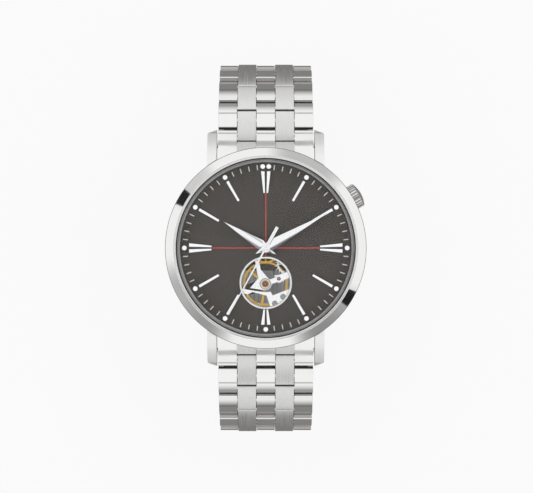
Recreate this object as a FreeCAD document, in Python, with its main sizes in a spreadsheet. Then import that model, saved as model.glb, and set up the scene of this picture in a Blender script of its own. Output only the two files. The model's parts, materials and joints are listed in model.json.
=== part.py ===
import FreeCAD, Part
import math
import os

import Sketcher

# An automatic wristwatch with an open-heart dial on a five-column steel bracelet.
# Millimetres. The origin is the middle of the case back's outer face, +Z leaves the dial,
# +Y points to 12 o'clock and +X to 3 o'clock. The bracelet is closed round the wrist below.

doc = FreeCAD.newDocument("SkeletonWristwatch")
sheet = doc.addObject("Spreadsheet::Sheet", "Sizes")
Vector = FreeCAD.Vector
zAxis = Vector(0, 0, 1)
xAxis = Vector(1, 0, 0)
yAxis = Vector(0, 1, 0)

sizeTable = [
    # case, radii and heights
    ("caseRadius", 20.2),
    ("caseBottom", 1.2),
    ("caseTop", 7.4),
    ("caseBore", 16.15),
    ("caseBlankBore", 14.0),
    ("dialSeatRadius", 17.75),
    ("dialBottom", "caseTop - 0.4"),
    ("bezelRadius", "caseRadius + 0.25"),
    ("bezelTop", "caseTop + 2.6"),
    ("bezelFall", 0.16),
    ("bezelEdge", 0.1),
    ("bezelFlatInner", "bezelBore + 0.5"),
    ("bezelBore", 18.3),
    ("slideGap", 0.05),
    # lugs
    ("lugOuter", "lugGap / 2 + 1.9"),
    ("lugGap", 20.0),
    ("lugTip", 24.2),
    ("lugTipHeight", 3.8),
    ("lugRootStart", 15.5),
    ("lugTopStart", 17.2),
    ("lugRootHeight", "bezelTop - 0.24"),
    ("lugCrown", 8.2),
    ("springBarY", "caseRadius + slideGap + springBarRadius"),
    ("springBarZ", 2.7),
    ("springBarRadius", 0.75),
    ("springTipRadius", 0.45),
    ("lugHoleDepth", 1.1),
    # case back
    ("backFlangeRadius", 17.4),
    ("backPlugTop", 2.2),
    ("backWindow", 11.3),
    ("backGlassRadius", 12.0),
    ("backGlassTop", 1.2),
    ("rotorRoom", 13.0),
    # crystal and inner ring
    ("crystalRadius", "bezelBore - 0.3"),
    ("crystalBottom", "bezelTop - 0.65"),
    ("crystalEdge", "bezelTop"),
    ("crystalBevel", 0.2),
    ("crystalTop", "bezelTop + 0.9"),
    ("rehautInner", 17.45),
    # dial
    ("dialRadius", 17.6),
    ("dialCentreHole", 1.05),
    ("heartY", -7.08),
    ("heartInner", 4.91),
    ("heartSleeve", 5.06),
    ("heartOuter", 5.38),
    # hour markers
    ("markerHeight", 0.35),
    ("batonInner", 11.0),
    ("batonOuter", 15.65),
    ("batonWidth", 0.54),
    ("sixBatonInner", 12.5),
    ("dotRadius", 0.5),
    ("dotCircle", 16.55),
    # hands
    ("hourHandLength", 10.1),
    ("minuteHandLength", 14.3),
    ("handShoulder", 1.3),
    ("handHalfWidth", 1.05),
    ("handTail", 2.45),
    ("handThickness", 0.4),
    ("secondHandLength", 15.5),
    ("secondTail", 4.86),
    ("secondTailWidth", 0.65),
    ("secondHubRadius", 0.9),
    ("hourHandZ", "caseTop + 0.45"),
    ("minuteHandZ", "hourHandZ + 0.5"),
    ("secondHandZ", "minuteHandZ + 0.53"),
    # movement
    ("plateRadius", 13.0),
    ("plateBottom", "dialBottom - 1.8"),
    ("plateTop", "dialBottom - 0.8"),
    ("bridgeBottom", 2.6),
    ("bridgeTop", 3.2),
    ("ringInner", 13.05),
    ("ringBottom", 3.0),
    ("arborRadius", 0.15),
    ("pivotRadius", 0.08),
    ("pivotLength", 0.2),
    ("jewelRadius", 0.4),
    ("jewelBore", 0.1),
    ("jewelThickness", 0.25),
    ("balanceX", -0.08),
    ("balanceY", -7.3),
    ("balanceRadius", 4.55),
    ("balanceRimWidth", 0.4),
    ("forkX", 2.66),
    ("forkY", -6.25),
    ("rotorRadius", 12.6),
    ("rotorRimInner", 9.5),
    ("rotorBottom", 1.5),
    ("rotorTop", 2.3),
    # crown and stem
    ("crownAngle", 30.0),
    ("crownHeight", 4.55),
    ("crownRadius", 2.55),
    ("crownFace", "caseRadius + 0.2"),
    ("crownEnd", "crownFace + 1.55"),
    ("crownCap", "crownEnd + 0.5"),
    ("tubeRadius", 1.35),
    ("tubeBore", 0.98),
    ("tubeEnd", "crownFace + 0.6"),
    ("stemRadius", 0.45),
    ("stemInner", 9.6),
    # bracelet
    ("braceletWidth", "lugGap - 0.5"),
    ("claspEndWidth", "braceletWidth - 1.5"),
    ("columnGap", 0.1),
    ("linkPitch", 5.7),
    ("linkHalf", 1.25),
    ("linkEnd", 1.95),
    ("polishedCrown", 8.0),
    ("brushedCrown", 17.0),
    ("linkSoftCorner", 0.25),
    ("halfLinkEnd", 1.5),
    ("endGap", 0.1),
    ("pinRadius", 0.5),
    ("pinPlay", 0.03),
    ("firstHingeY", "springBarY + springBarRadius + 1.6"),
    ("firstHingeZ", 2.7),
    # clasp
    ("innerBladeRadius", 57.2),
    ("outerBladeRadius", 58.45),
    ("coverRadius", 59.9),
    ("bladeThickness", 0.8),
    ("coverThickness", 1.1),
    ("bladeHalfWidth", 4.6),
    ("coverEndGap", 1.9),
    ("foldPinInset", 4.4),
    ("coverPinInset", 6.4),
    ("buttonInset", 8.9),
]


def plain(value):
    return f"{value:.6f}".rstrip("0").rstrip(".")


class Size:
    # A number with the sheet expression that gives it.
    def __init__(self, number, text):
        self.number = number
        self.text = text

    def __add__(self, other):
        return Size(self.number + numberOf(other), f"({self.text} + {textOf(other)})")

    def __radd__(self, other):
        return Size(numberOf(other) + self.number, f"({textOf(other)} + {self.text})")

    def __sub__(self, other):
        return Size(self.number - numberOf(other), f"({self.text} - {textOf(other)})")

    def __rsub__(self, other):
        return Size(numberOf(other) - self.number, f"({textOf(other)} - {self.text})")

    def __mul__(self, other):
        return Size(self.number * numberOf(other), f"({self.text} * {textOf(other)})")

    def __rmul__(self, other):
        return Size(numberOf(other) * self.number, f"({textOf(other)} * {self.text})")

    def __truediv__(self, other):
        return Size(self.number / numberOf(other), f"({self.text} / {textOf(other)})")

    def __neg__(self):
        return Size(-self.number, f"(0 - {self.text})")


def numberOf(value):
    return value.number if isinstance(value, Size) else float(value)


def textOf(value):
    return value.text if isinstance(value, Size) else f"({plain(float(value))})"


def root(value):
    return Size(math.sqrt(numberOf(value)), f"sqrt({textOf(value)})")


def fillSheet():
    # Column A names each size; column B holds its number, or the sum that ties it to others.
    for row, (name, value) in enumerate(sizeTable, start=1):
        sheet.set(f"A{row}", name)
        sheet.set(f"B{row}", f"={value}" if isinstance(value, str) else plain(value))
        sheet.setAlias(f"B{row}", name)
    doc.recompute()
    return {name: Size(float(sheet.get(name)), f"Sizes.{name}") for name, value in sizeTable}


sizes = fillSheet()


def s(name):
    return sizes[name]


def n(name):
    return sizes[name].number


def bind(thing, name, value):
    # Numbers are set, sizes follow the sheet.
    if isinstance(value, Size):
        thing.setExpression(name, value.text)
        return
    thing.setExpression(name, plain(float(value)))


def place(thing, x=0.0, y=0.0, z=0.0, rotation=None):
    thing.Placement = FreeCAD.Placement(
        Vector(numberOf(x), numberOf(y), numberOf(z)), rotation or FreeCAD.Rotation()
    )
    for axis, value in (("x", x), ("y", y), ("z", z)):
        if isinstance(value, Size):
            thing.setExpression(f"Placement.Base.{axis}", value.text)
    return thing


def turn(axis, degrees):
    return FreeCAD.Rotation(axis, degrees)


# Sketches


def vertexRules(constraints, bound, edge, end, point):
    # Ties one vertex to the origin by its two distances.
    for kind, axisLine, value in (("DistanceX", -2, point[0]), ("DistanceY", -1, point[1])):
        amount = numberOf(value)
        if abs(amount) < 1e-9:
            constraints.append(Sketcher.Constraint("PointOnObject", edge, end, axisLine))
            continue
        if amount > 0:
            constraints.append(Sketcher.Constraint(kind, -1, 1, edge, end, amount))
        else:
            constraints.append(Sketcher.Constraint(kind, edge, end, -1, 1, -amount))
            value = -value
        if isinstance(value, Size):
            bound.append((len(constraints) - 1, value.text))


def arcBetween(first, last, radius):
    # The short arc from first to last; a positive radius turns left along the way.
    start = Vector(numberOf(first[0]), numberOf(first[1]), 0)
    end = Vector(numberOf(last[0]), numberOf(last[1]), 0)
    along = end.sub(start)
    half = along.Length / 2
    along.normalize()
    side = 1 if radius > 0 else -1
    offset = math.sqrt(max(radius * radius - half * half, 0.0))
    left = Vector(-along.y, along.x, 0) * (side * offset)
    centre = start.add(end) * 0.5 + left
    startAngle = math.atan2(start.y - centre.y, start.x - centre.x)
    endAngle = math.atan2(end.y - centre.y, end.x - centre.x)
    circle = Part.Circle(centre, zAxis, abs(radius))
    if side > 0:
        return Part.ArcOfCircle(circle, startAngle, endAngle)
    return Part.ArcOfCircle(circle, endAngle, startAngle)


def drawLoop(sketch, points, flip=False):
    # Each point is (across, up) or (across, up, radius of the edge that leaves it).
    if flip:
        points = [(-p[0], p[1]) + tuple(-r for r in p[2:]) for p in points]
    constraints = []
    bound = []
    first = sketch.GeometryCount
    count = len(points)
    ends = []
    edges = []
    for index, point in enumerate(points):
        following = points[(index + 1) % count]
        if len(point) > 2:
            radius = numberOf(point[2])
            edges.append(arcBetween(point, following, radius))
            ends.append((1, 2) if radius > 0 else (2, 1))
            continue
        start = Vector(numberOf(point[0]), numberOf(point[1]), 0)
        end = Vector(numberOf(following[0]), numberOf(following[1]), 0)
        edges.append(Part.LineSegment(start, end))
        ends.append((1, 2))
    sketch.addGeometry(edges)
    for index, point in enumerate(points):
        edge = first + index
        nextEdge = first + (index + 1) % count
        nextStart = ends[(index + 1) % count][0]
        constraints.append(
            Sketcher.Constraint("Coincident", edge, ends[index][1], nextEdge, nextStart)
        )
        vertexRules(constraints, bound, edge, ends[index][0], point)
        if len(point) > 2:
            radius = point[2] if numberOf(point[2]) > 0 else -point[2]
            constraints.append(Sketcher.Constraint("Radius", edge, numberOf(radius)))
            if isinstance(radius, Size):
                bound.append((len(constraints) - 1, radius.text))
    applyRules(sketch, constraints, bound)


def drawCircle(sketch, across, up, radius):
    edge = sketch.GeometryCount
    centre = Vector(numberOf(across), numberOf(up), 0)
    sketch.addGeometry([Part.Circle(centre, zAxis, numberOf(radius))])
    constraints = [Sketcher.Constraint("Radius", edge, numberOf(radius))]
    bound = [(0, radius.text)] if isinstance(radius, Size) else []
    vertexRules(constraints, bound, edge, 3, (across, up))
    applyRules(sketch, constraints, bound)


def applyRules(sketch, constraints, bound):
    before = sketch.ConstraintCount
    sketch.addConstraint(constraints)
    for index, text in bound:
        sketch.setExpression(f"Constraints[{before + index}]", text)


# Bodies


def newBody(name):
    body = doc.addObject("PartDesign::Body", name)
    body.Label = name
    return body


def bodySketch(body, plane, offset=None):
    sketch = body.newObject("Sketcher::SketchObject", body.Name + "Sketch")
    support = [f for f in body.Origin.OriginFeatures if f.Role == plane][0]
    sketch.AttachmentSupport = (support, [""])
    sketch.MapMode = "FlatFace"
    if offset is not None:
        sketch.AttachmentOffset = FreeCAD.Placement(
            Vector(0, 0, numberOf(offset)), FreeCAD.Rotation()
        )
        if isinstance(offset, Size):
            sketch.setExpression("AttachmentOffset.Base.z", offset.text)
    return sketch


def revolve(body, loops):
    sketch = bodySketch(body, "XZ_Plane")
    for loop in loops:
        drawLoop(sketch, loop)
    feature = body.newObject("PartDesign::Revolution", body.Name + "Turned")
    feature.Profile = sketch
    feature.ReferenceAxis = (sketch, ["V_Axis"])
    feature.Angle = 360
    return feature


def groove(body, loops):
    sketch = bodySketch(body, "XZ_Plane")
    for loop in loops:
        drawLoop(sketch, loop)
    feature = body.newObject("PartDesign::Groove", body.Name + "Grooved")
    feature.Profile = sketch
    feature.ReferenceAxis = (sketch, ["V_Axis"])
    feature.Angle = 360
    return feature


def pad(body, sketch, length, both=False):
    feature = body.newObject("PartDesign::Pad", body.Name + "Pad")
    feature.Profile = sketch
    if both:
        feature.SideType = "Symmetric"
    bind(feature, "Length", length)
    return feature


def pocketBoth(body, sketch, length):
    feature = body.newObject("PartDesign::Pocket", body.Name + "Pocket")
    feature.Profile = sketch
    feature.SideType = "Symmetric"
    bind(feature, "Length", length)
    return feature


# Part primitives and booleans


def cylinder(name, radius, height, x=0.0, y=0.0, z=0.0, rotation=None, angle=None):
    thing = doc.addObject("Part::Cylinder", name)
    bind(thing, "Radius", radius)
    bind(thing, "Height", height)
    if angle is not None:
        bind(thing, "Angle", angle)
    return place(thing, x, y, z, rotation)


def fuse(name, pieces):
    thing = doc.addObject("Part::MultiFuse", name)
    thing.Shapes = pieces
    thing.Label = name
    return thing


def group(name, pieces):
    thing = doc.addObject("Part::Compound", name)
    thing.Links = pieces
    thing.Label = name
    return thing


def cut(name, base, tools):
    thing = doc.addObject("Part::Cut", name)
    thing.Base = base
    thing.Tool = tools[0] if len(tools) == 1 else group(name + "Tools", tools)
    thing.Label = name
    return thing


def formed(name, shape):
    thing = doc.addObject("Part::Feature", name)
    thing.Shape = shape
    thing.Label = name
    return thing


alongX = turn(yAxis, 90)
crownTurn = turn(zAxis, n("crownAngle")).multiply(alongX)
crownAlongX = math.cos(math.radians(n("crownAngle")))
crownAlongY = math.sin(math.radians(n("crownAngle")))


def crownCylinder(name, radius, start, end):
    # A cylinder on the crown's axis between two distances from the watch's centre.
    return cylinder(
        name, radius, end - start, start * crownAlongX, start * crownAlongY,
        s("crownHeight"), crownTurn,
    )


# Case


def midCase():
    body = newBody("mid_case_blank")
    low = s("caseBottom")
    revolve(body, [[
        (s("caseBlankBore"), low), (s("caseRadius") - 1, low), (s("caseRadius") - 0.2, low + 1.2),
        (s("caseRadius"), low + 2), (s("caseRadius"), s("caseTop")), (s("caseBlankBore"), s("caseTop")),
    ]])
    tip = s("lugTip")
    lug = [
        (s("lugRootStart"), low + 1.0), (tip - 4.6, low + 0.2), (tip - 1.8, 0.5), (tip - 0.5, 0.5), (tip, 1.3),
        (tip, s("lugTipHeight") - 1.1), (tip - 0.5, s("lugTipHeight"), s("lugCrown")),
        (s("lugTopStart"), s("lugRootHeight")), (s("lugRootStart"), s("lugRootHeight")),
    ]
    sketch = bodySketch(body, "YZ_Plane")
    drawLoop(sketch, lug)
    drawLoop(sketch, lug, flip=True)
    pad(body, sketch, s("lugOuter") * 2, both=True)
    half = s("lugGap") / 2
    seat = s("caseRadius") + s("slideGap")
    rootY = root(seat * seat - half * half)
    slot = [(half, rootY, seat), (-half, rootY), (-half, tip + 3), (half, tip + 3)]
    lowSlot = [(-half, -rootY, seat), (half, -rootY), (half, -(tip + 3)), (-half, -(tip + 3))]
    sketch = bodySketch(body, "XY_Plane")
    drawLoop(sketch, slot)
    drawLoop(sketch, lowSlot)
    pocketBoth(body, sketch, 40)
    sketch = bodySketch(body, "XY_Plane")
    for across in (1, -1):
        for up in (1, -1):
            inner = (half - 0.2) * across
            outer = (s("lugOuter") + 0.3) * across
            drawLoop(sketch, [
                (inner, (tip + 0.2) * up), (outer, (tip + 0.2) * up), (outer, (tip - 0.85) * up),
            ])
    pocketBoth(body, sketch, 40)
    bezelRoom = s("bezelRadius") + s("slideGap")
    groove(body, [[
        (0, 0), (s("caseBore"), 0), (s("caseBore"), s("dialBottom")),
        (s("dialSeatRadius"), s("dialBottom")), (s("dialSeatRadius"), s("caseTop")),
        (bezelRoom, s("caseTop")), (bezelRoom, s("bezelTop") + 2), (0, s("bezelTop") + 2),
    ]])
    barLength = s("lugGap") + s("lugHoleDepth") * 2
    tools = [
        cylinder("lugHoleTop", s("springTipRadius") + s("pinPlay"), barLength,
                 -barLength / 2, s("springBarY"), s("springBarZ"), alongX),
        cylinder("lugHoleBottom", s("springTipRadius") + s("pinPlay"), barLength,
                 -barLength / 2, -s("springBarY"), s("springBarZ"), alongX),
        crownCylinder("tubeHole", s("tubeRadius"), s("caseBore") - 2, s("caseRadius") + 2),
        crownCylinder("crownRoom", s("crownRadius") + 0.25, s("crownFace") - s("slideGap"),
                      s("crownFace") + 6),
    ]
    return cut("mid_case", body, tools)


def bezel():
    body = newBody("bezel")
    outer = s("bezelRadius")
    revolve(body, [[
        (s("bezelBore"), s("caseTop")), (outer - 0.2, s("caseTop")), (outer, s("caseTop") + 0.8),
        (outer, s("bezelTop") - s("bezelFall") - s("bezelEdge")),
        (outer - s("bezelEdge"), s("bezelTop") - s("bezelFall")),
        (s("bezelFlatInner"), s("bezelTop")), (s("bezelBore"), s("bezelTop") - 0.45),
    ]])
    return body


def domeRadius(across, rise):
    # Radius of the arc that climbs by rise from across the axis to a level top on the axis.
    return (across * across + rise * rise) / (rise * 2)


def crystal():
    body = newBody("crystal")
    edge = s("crystalRadius")
    bevel = s("crystalBevel")
    domeFoot = s("crystalEdge") + bevel
    dome = domeRadius(edge - bevel, s("crystalTop") - domeFoot)
    revolve(body, [[
        (0, s("crystalBottom")), (edge, s("crystalBottom")), (edge, s("crystalEdge")),
        (edge - bevel, domeFoot, dome), (0, s("crystalTop")),
    ]])
    return body


def gaskets():
    # The crystal's ring fills the joint under the bezel; the back's lies in its groove.
    crystalRing = newBody("crystalGasket")
    revolve(crystalRing, [[
        (s("crystalRadius") + 0.02, s("crystalBottom")), (s("bezelBore") - 0.02, s("crystalBottom")),
        (s("bezelBore") - 0.02, s("bezelTop") - 0.5), (s("crystalRadius") + 0.02, s("bezelTop") - 0.5),
    ]])
    backRing = newBody("backGasket")
    inner = s("backFlangeRadius") - 1.0
    revolve(backRing, [[
        (inner, s("caseBottom") - 0.4), (inner + 0.55, s("caseBottom") - 0.4),
        (inner + 0.55, s("caseBottom")), (inner, s("caseBottom")),
    ]])
    return group("gaskets", [crystalRing, backRing])


def caseBack():
    body = newBody("case_back")
    flange = s("backFlangeRadius")
    top = s("caseBottom")
    glass = s("backGlassRadius")
    inner = flange - 1.0
    revolve(body, [[
        (s("backWindow"), 0), (flange - 0.4, 0), (flange, 0.4), (flange, top),
        (inner + 0.6, top), (inner + 0.6, top - 0.4), (inner - 0.05, top - 0.4), (inner - 0.05, top),
        (s("caseBore") - s("slideGap"), top), (s("caseBore") - s("slideGap"), s("backPlugTop")),
        (s("rotorRoom"), s("backPlugTop")), (s("rotorRoom"), s("backGlassTop") + 0.1),
        (glass, s("backGlassTop") + 0.1), (glass, 0.3), (s("backWindow"), 0.3),
    ]])
    # Six notches for the case-back key.
    sketch = bodySketch(body, "XY_Plane")
    for step in range(6):
        angle = math.radians(60 * step + 30)
        drawCircle(sketch, (flange - 0.1) * math.cos(angle), (flange - 0.1) * math.sin(angle), 0.9)
    pocketBoth(body, sketch, 1.0)
    return body


def caseBackGlass():
    body = newBody("case_back_glass")
    window = s("backWindow") - 0.02
    glass = s("backGlassRadius") - 0.02
    revolve(body, [[
        (0, 0), (window, 0), (window, 0.32), (glass, 0.32),
        (glass, s("backGlassTop")), (0, s("backGlassTop")),
    ]])
    return body


def rehaut():
    body = newBody("rehaut")
    outer = s("bezelBore") - 0.02
    revolve(body, [[
        (s("rehautInner"), s("caseTop")), (outer, s("caseTop")), (outer, s("crystalBottom")),
        (outer - 0.3, s("crystalBottom")),
    ]])
    return body


# Dial side


def dial():
    body = newBody("dial")
    sketch = bodySketch(body, "XY_Plane", s("dialBottom"))
    drawCircle(sketch, 0, 0, s("dialRadius"))
    drawCircle(sketch, 0, 0, s("dialCentreHole"))
    drawCircle(sketch, 0, s("heartY"), s("heartSleeve") + 0.02)
    pad(body, sketch, s("caseTop") - s("dialBottom"))
    return body


def apertureRing():
    body = newBody("aperture_ring")
    low = s("dialBottom") - 0.3
    revolve(body, [[
        (s("heartInner"), low), (s("heartSleeve"), low), (s("heartSleeve"), s("caseTop")),
        (s("heartOuter"), s("caseTop")), (s("heartOuter"), s("caseTop") + 0.12),
        (s("heartOuter") - 0.12, s("caseTop") + 0.24), (s("heartInner") + 0.12, s("caseTop") + 0.24),
        (s("heartInner"), s("caseTop") + 0.12),
    ]])
    return place(body, 0, s("heartY"), 0)


def drawRadialBar(sketch, angle, middleOut, middleIn, inner, outer, widthIn, widthOut):
    # A bar along a clock angle; middleIn and middleOut shift its axis sideways at each end.
    along = (math.sin(math.radians(angle)), math.cos(math.radians(angle)))
    side = (along[1], -along[0])
    points = []
    for reach, middle, width in (
        (inner, middleIn, -widthIn), (inner, middleIn, widthIn),
        (outer, middleOut, widthOut), (outer, middleOut, -widthOut),
    ):
        shift = middle + width / 2
        points.append((reach * along[0] + shift * side[0], reach * along[1] + shift * side[1]))
    drawLoop(sketch, points)


def hourMarkers():
    body = newBody("hour_markers")
    sketch = bodySketch(body, "XY_Plane", s("caseTop"))
    width = s("batonWidth")
    doubleAngles = {0: s("batonInner") + 0.15, 3: s("batonInner"), 6: s("sixBatonInner"),
                    9: s("batonInner")}
    for hour in range(12):
        angle = 30 * hour
        if hour not in doubleAngles:
            drawRadialBar(sketch, angle, 0, 0, s("batonInner"), s("batonOuter"),
                          width * 0.9, width * 1.1)
            drawCircle(sketch, s("dotCircle") * math.sin(math.radians(angle)),
                       s("dotCircle") * math.cos(math.radians(angle)), s("dotRadius"))
            continue
        for sideways in (1, -1):
            drawRadialBar(sketch, angle, width * 1.13 * sideways, width * 0.58 * sideways,
                          doubleAngles[hour], s("batonOuter") - 0.05, width * 0.68, width * 1.37)
        if hour:
            drawCircle(sketch, s("dotCircle") * math.sin(math.radians(angle)),
                       s("dotCircle") * math.cos(math.radians(angle)), s("dotRadius"))
    for across in (1, -1):
        drawCircle(sketch, (s("dotRadius") + 0.11) * across, s("dotCircle"), s("dotRadius"))
    pad(body, sketch, s("markerHeight"))
    return body


def dauphineHand(name, length, hole, height, clockAngle):
    # A kite with a ridge along its middle, drawn along +X and turned to the clock angle.
    body = newBody(name)
    thick = s("handThickness")
    half = s("handHalfWidth")
    sketch = bodySketch(body, "XY_Plane")
    drawLoop(sketch, [(length, 0), (s("handShoulder"), half), (-s("handTail"), 0),
                      (s("handShoulder"), -half)])
    pad(body, sketch, thick)
    sketch = bodySketch(body, "YZ_Plane")
    for side in (1, -1):
        drawLoop(sketch, [(0, thick), ((half + 0.1) * side, thick * 0.35),
                          ((half + 0.1) * side, thick + 0.2), (0, thick + 0.2)])
    pocketBoth(body, sketch, 40)
    sketch = bodySketch(body, "XY_Plane")
    drawCircle(sketch, 0, 0, hole)
    pocketBoth(body, sketch, 4)
    return place(body, 0, 0, height, turn(zAxis, 90 - clockAngle))


def secondHandAndPinion():
    # The needle and its hub, pressed on an arbor that carries the centre seconds pinion.
    body = newBody("secondNeedle")
    sketch = bodySketch(body, "XY_Plane")
    half = s("secondTailWidth") / 2
    drawLoop(sketch, [
        (s("secondHandLength"), 0.06), (0, 0.2), (-0.7, half), (-s("secondTail"), half),
        (-s("secondTail"), -half), (-0.7, -half), (0, -0.2), (s("secondHandLength"), -0.06),
    ])
    pad(body, sketch, 0.18)
    sketch = bodySketch(body, "XY_Plane")
    drawCircle(sketch, 0, 0, s("secondHubRadius"))
    pad(body, sketch, 0.32)
    sketch = bodySketch(body, "XY_Plane")
    drawCircle(sketch, 0, 0, secondArborRadius)
    pocketBoth(body, sketch, 4)
    place(body, 0, 0, s("secondHandZ"), turn(zAxis, 90 - 209))
    pinion = formed("secondPinion", secondPinionShape())
    return group("second_hand", [body, pinion])


# Gears: teeth are trapezoids that leave backlash at the pitch circle


def toothedFace(teeth, module, phase=0.0, bore=0.0, inner=0.0):
    # radius(tooth) = teeth * module / 2, tips one module out, roots 1.25 modules in
    pitch = teeth * module / 2
    tip = pitch + module * 0.9
    foot = pitch - module * 1.15
    step = 2 * math.pi / teeth
    points = []
    for tooth in range(teeth):
        middle = math.radians(phase) + tooth * step
        for radius, share in ((foot, -0.3), (tip, -0.12), (tip, 0.12), (foot, 0.3)):
            angle = middle + share * step
            points.append(Vector(radius * math.cos(angle), radius * math.sin(angle), 0))
    points.append(points[0])
    outline = Part.Wire(Part.makePolygon(points).Edges)
    wires = [outline]
    for hole in (bore, inner):
        if hole > 0:
            wires.append(Part.Wire([Part.makeCircle(hole)]))
    return Part.Face(wires, "Part::FaceMakerBullseye")


def gear(teeth, module, bottom, top, phase=0.0, bore=0.0):
    face = toothedFace(teeth, module, phase, bore)
    face.translate(Vector(0, 0, bottom))
    return face.extrude(Vector(0, 0, top - bottom))


def spokedGear(teeth, module, bottom, top, spokes, hub, phase=0.0, rim=0.35):
    # A toothed rim, a hub disc and straight spokes between them.
    thickness = top - bottom
    inner = teeth * module / 2 - module * 1.25 - rim
    face = toothedFace(teeth, module, phase, 0.0, inner)
    face.translate(Vector(0, 0, bottom))
    rimSolid = face.extrude(Vector(0, 0, thickness))
    parts = [Part.makeCylinder(hub, thickness, Vector(0, 0, bottom))]
    for index in range(spokes):
        spoke = Part.makeBox(inner + rim / 2, spokeWidth, thickness, Vector(0, -spokeWidth / 2, bottom))
        spoke.rotate(Vector(0, 0, 0), zAxis, 360 / spokes * index)
        parts.append(spoke)
    return rimSolid.fuse(parts).removeSplitter()


def arbor(bottom, top, radius=None):
    # A shaft with a fine pivot at each end.
    shaft = Part.makeCylinder(radius or n("arborRadius"), top - bottom, Vector(0, 0, bottom))
    length = top - bottom + 2 * n("pivotLength")
    start = Vector(0, 0, bottom - n("pivotLength"))
    return shaft.fuse(Part.makeCylinder(n("pivotRadius"), length, start))


def placedFormed(name, shape, x, y):
    thing = formed(name, shape)
    thing.Placement = FreeCAD.Placement(Vector(x, y, 0), FreeCAD.Rotation())
    return thing


spokeWidth = 0.28
shaftShy = 0.03
secondArborRadius = 0.12
centreTubeBore = 0.16
centreTubeRadius = 0.25
cannonBore = 0.28
cannonTubeRadius = 0.5
hourTubeBore = 0.56
hourTubeRadius = 0.85

barrelCentre = (-5.24, 3.67)
thirdCentre = (3.456, 1.007)
fourthCentre = (6.3, -1.2)
escapeCentre = (4.3, -3.3)
minuteWheelCentre = (-1.414, 1.414)

# Heights of the barrel's floor, teeth and cover, and of the escapement's parts
barrelLevels = (3.75, 4.05, 4.8)
escapePinionLevels = (3.85, 4.12)
escapeLevel = 4.7
forkLevel = 4.72
forkFoot = 4.5
rollerLevel = 4.42
balanceLevel = 3.7
springLevel = 3.4
leverThickness = 0.14

# Bottom and top of each wheel and pinion of the going train
thirdWheelLevels = (3.35, 3.5)
lowPinionLevels = (3.28, 3.64)
centrePinionLevels = (3.7, 4.12)
centreWheelLevels = (4.95, 5.1)
highPinionLevels = (4.9, 5.14)
centreTubeTop = 6.75

trainModule = 0.1
barrelModule = 0.158
thirdModule = 0.10588
fourthModule = 0.0725
minuteModule = 2 * 2.0 / 48
hourModule = 2 * 2.0 / 50


def meshPhase(fromCentre, toCentre, driverTeeth, drivenTeeth, driverPhase=0.0):
    # The driven wheel's phase that puts a gap of it against the driver's nearest tooth.
    angle = math.degrees(math.atan2(toCentre[1] - fromCentre[1], toCentre[0] - fromCentre[0]))
    driverStep = 360 / driverTeeth
    drivenStep = 360 / drivenTeeth
    pastTooth = ((angle - driverPhase) / driverStep) % 1.0
    return angle + 180 + drivenStep * (0.5 + pastTooth)


def secondPinionShape():
    # Lies behind the centre wheel's tube, level with the third wheel that drives it.
    phase = meshPhase(thirdCentre, (0, 0), 60, 8, thirdWheelPhase())
    low, high = lowPinionLevels
    teeth = gear(8, thirdModule, low, high, phase)
    shaft = Part.makeCylinder(secondArborRadius, n("secondHandZ") + 0.3 - low, Vector(0, 0, low))
    pivot = Part.makeCylinder(n("pivotRadius"), 0.4, Vector(0, 0, low - 0.28))
    return shaft.fuse([teeth, pivot])


def centreWheelPhase():
    return 0.0


def thirdPinionPhase():
    return meshPhase((0, 0), thirdCentre, 64, 8, centreWheelPhase())


def thirdWheelPhase():
    return 0.0


def centreWheel():
    # The wheel turns above the barrel, its pinion beside it, and its tube carries the cannon pinion.
    wheel = spokedGear(64, trainModule, *centreWheelLevels, 4, 0.9, centreWheelPhase())
    pinionPhase = meshPhase(barrelCentre, (0, 0), 72, 9, 0.0)
    low, high = centrePinionLevels
    pinion = gear(9, barrelModule, low, high, pinionPhase)
    tube = Part.makeCylinder(centreTubeRadius, centreTubeTop - low, Vector(0, 0, low))
    solid = wheel.fuse([pinion, tube])
    hole = Part.makeCylinder(centreTubeBore, centreTubeTop, Vector(0, 0, low - 1))
    return formed("centre_wheel", solid.cut(hole))


def thirdWheel():
    wheel = spokedGear(60, thirdModule, *thirdWheelLevels, 4, 0.7, thirdWheelPhase())
    pinion = gear(8, trainModule, *highPinionLevels, thirdPinionPhase())
    solid = wheel.fuse([pinion, arbor(n("bridgeTop") + shaftShy, n("plateBottom") - shaftShy)])
    return placedFormed("third_wheel", solid, *thirdCentre)


def fourthWheel():
    wheel = spokedGear(72, fourthModule, 3.9, 4.05, 4, 0.6)
    phase = meshPhase(thirdCentre, fourthCentre, 60, 8, thirdWheelPhase())
    pinion = gear(8, thirdModule, *lowPinionLevels, phase)
    solid = wheel.fuse([pinion, arbor(n("bridgeTop") + shaftShy, n("plateBottom") - shaftShy)])
    return placedFormed("fourth_wheel", solid, *fourthCentre)


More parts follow.
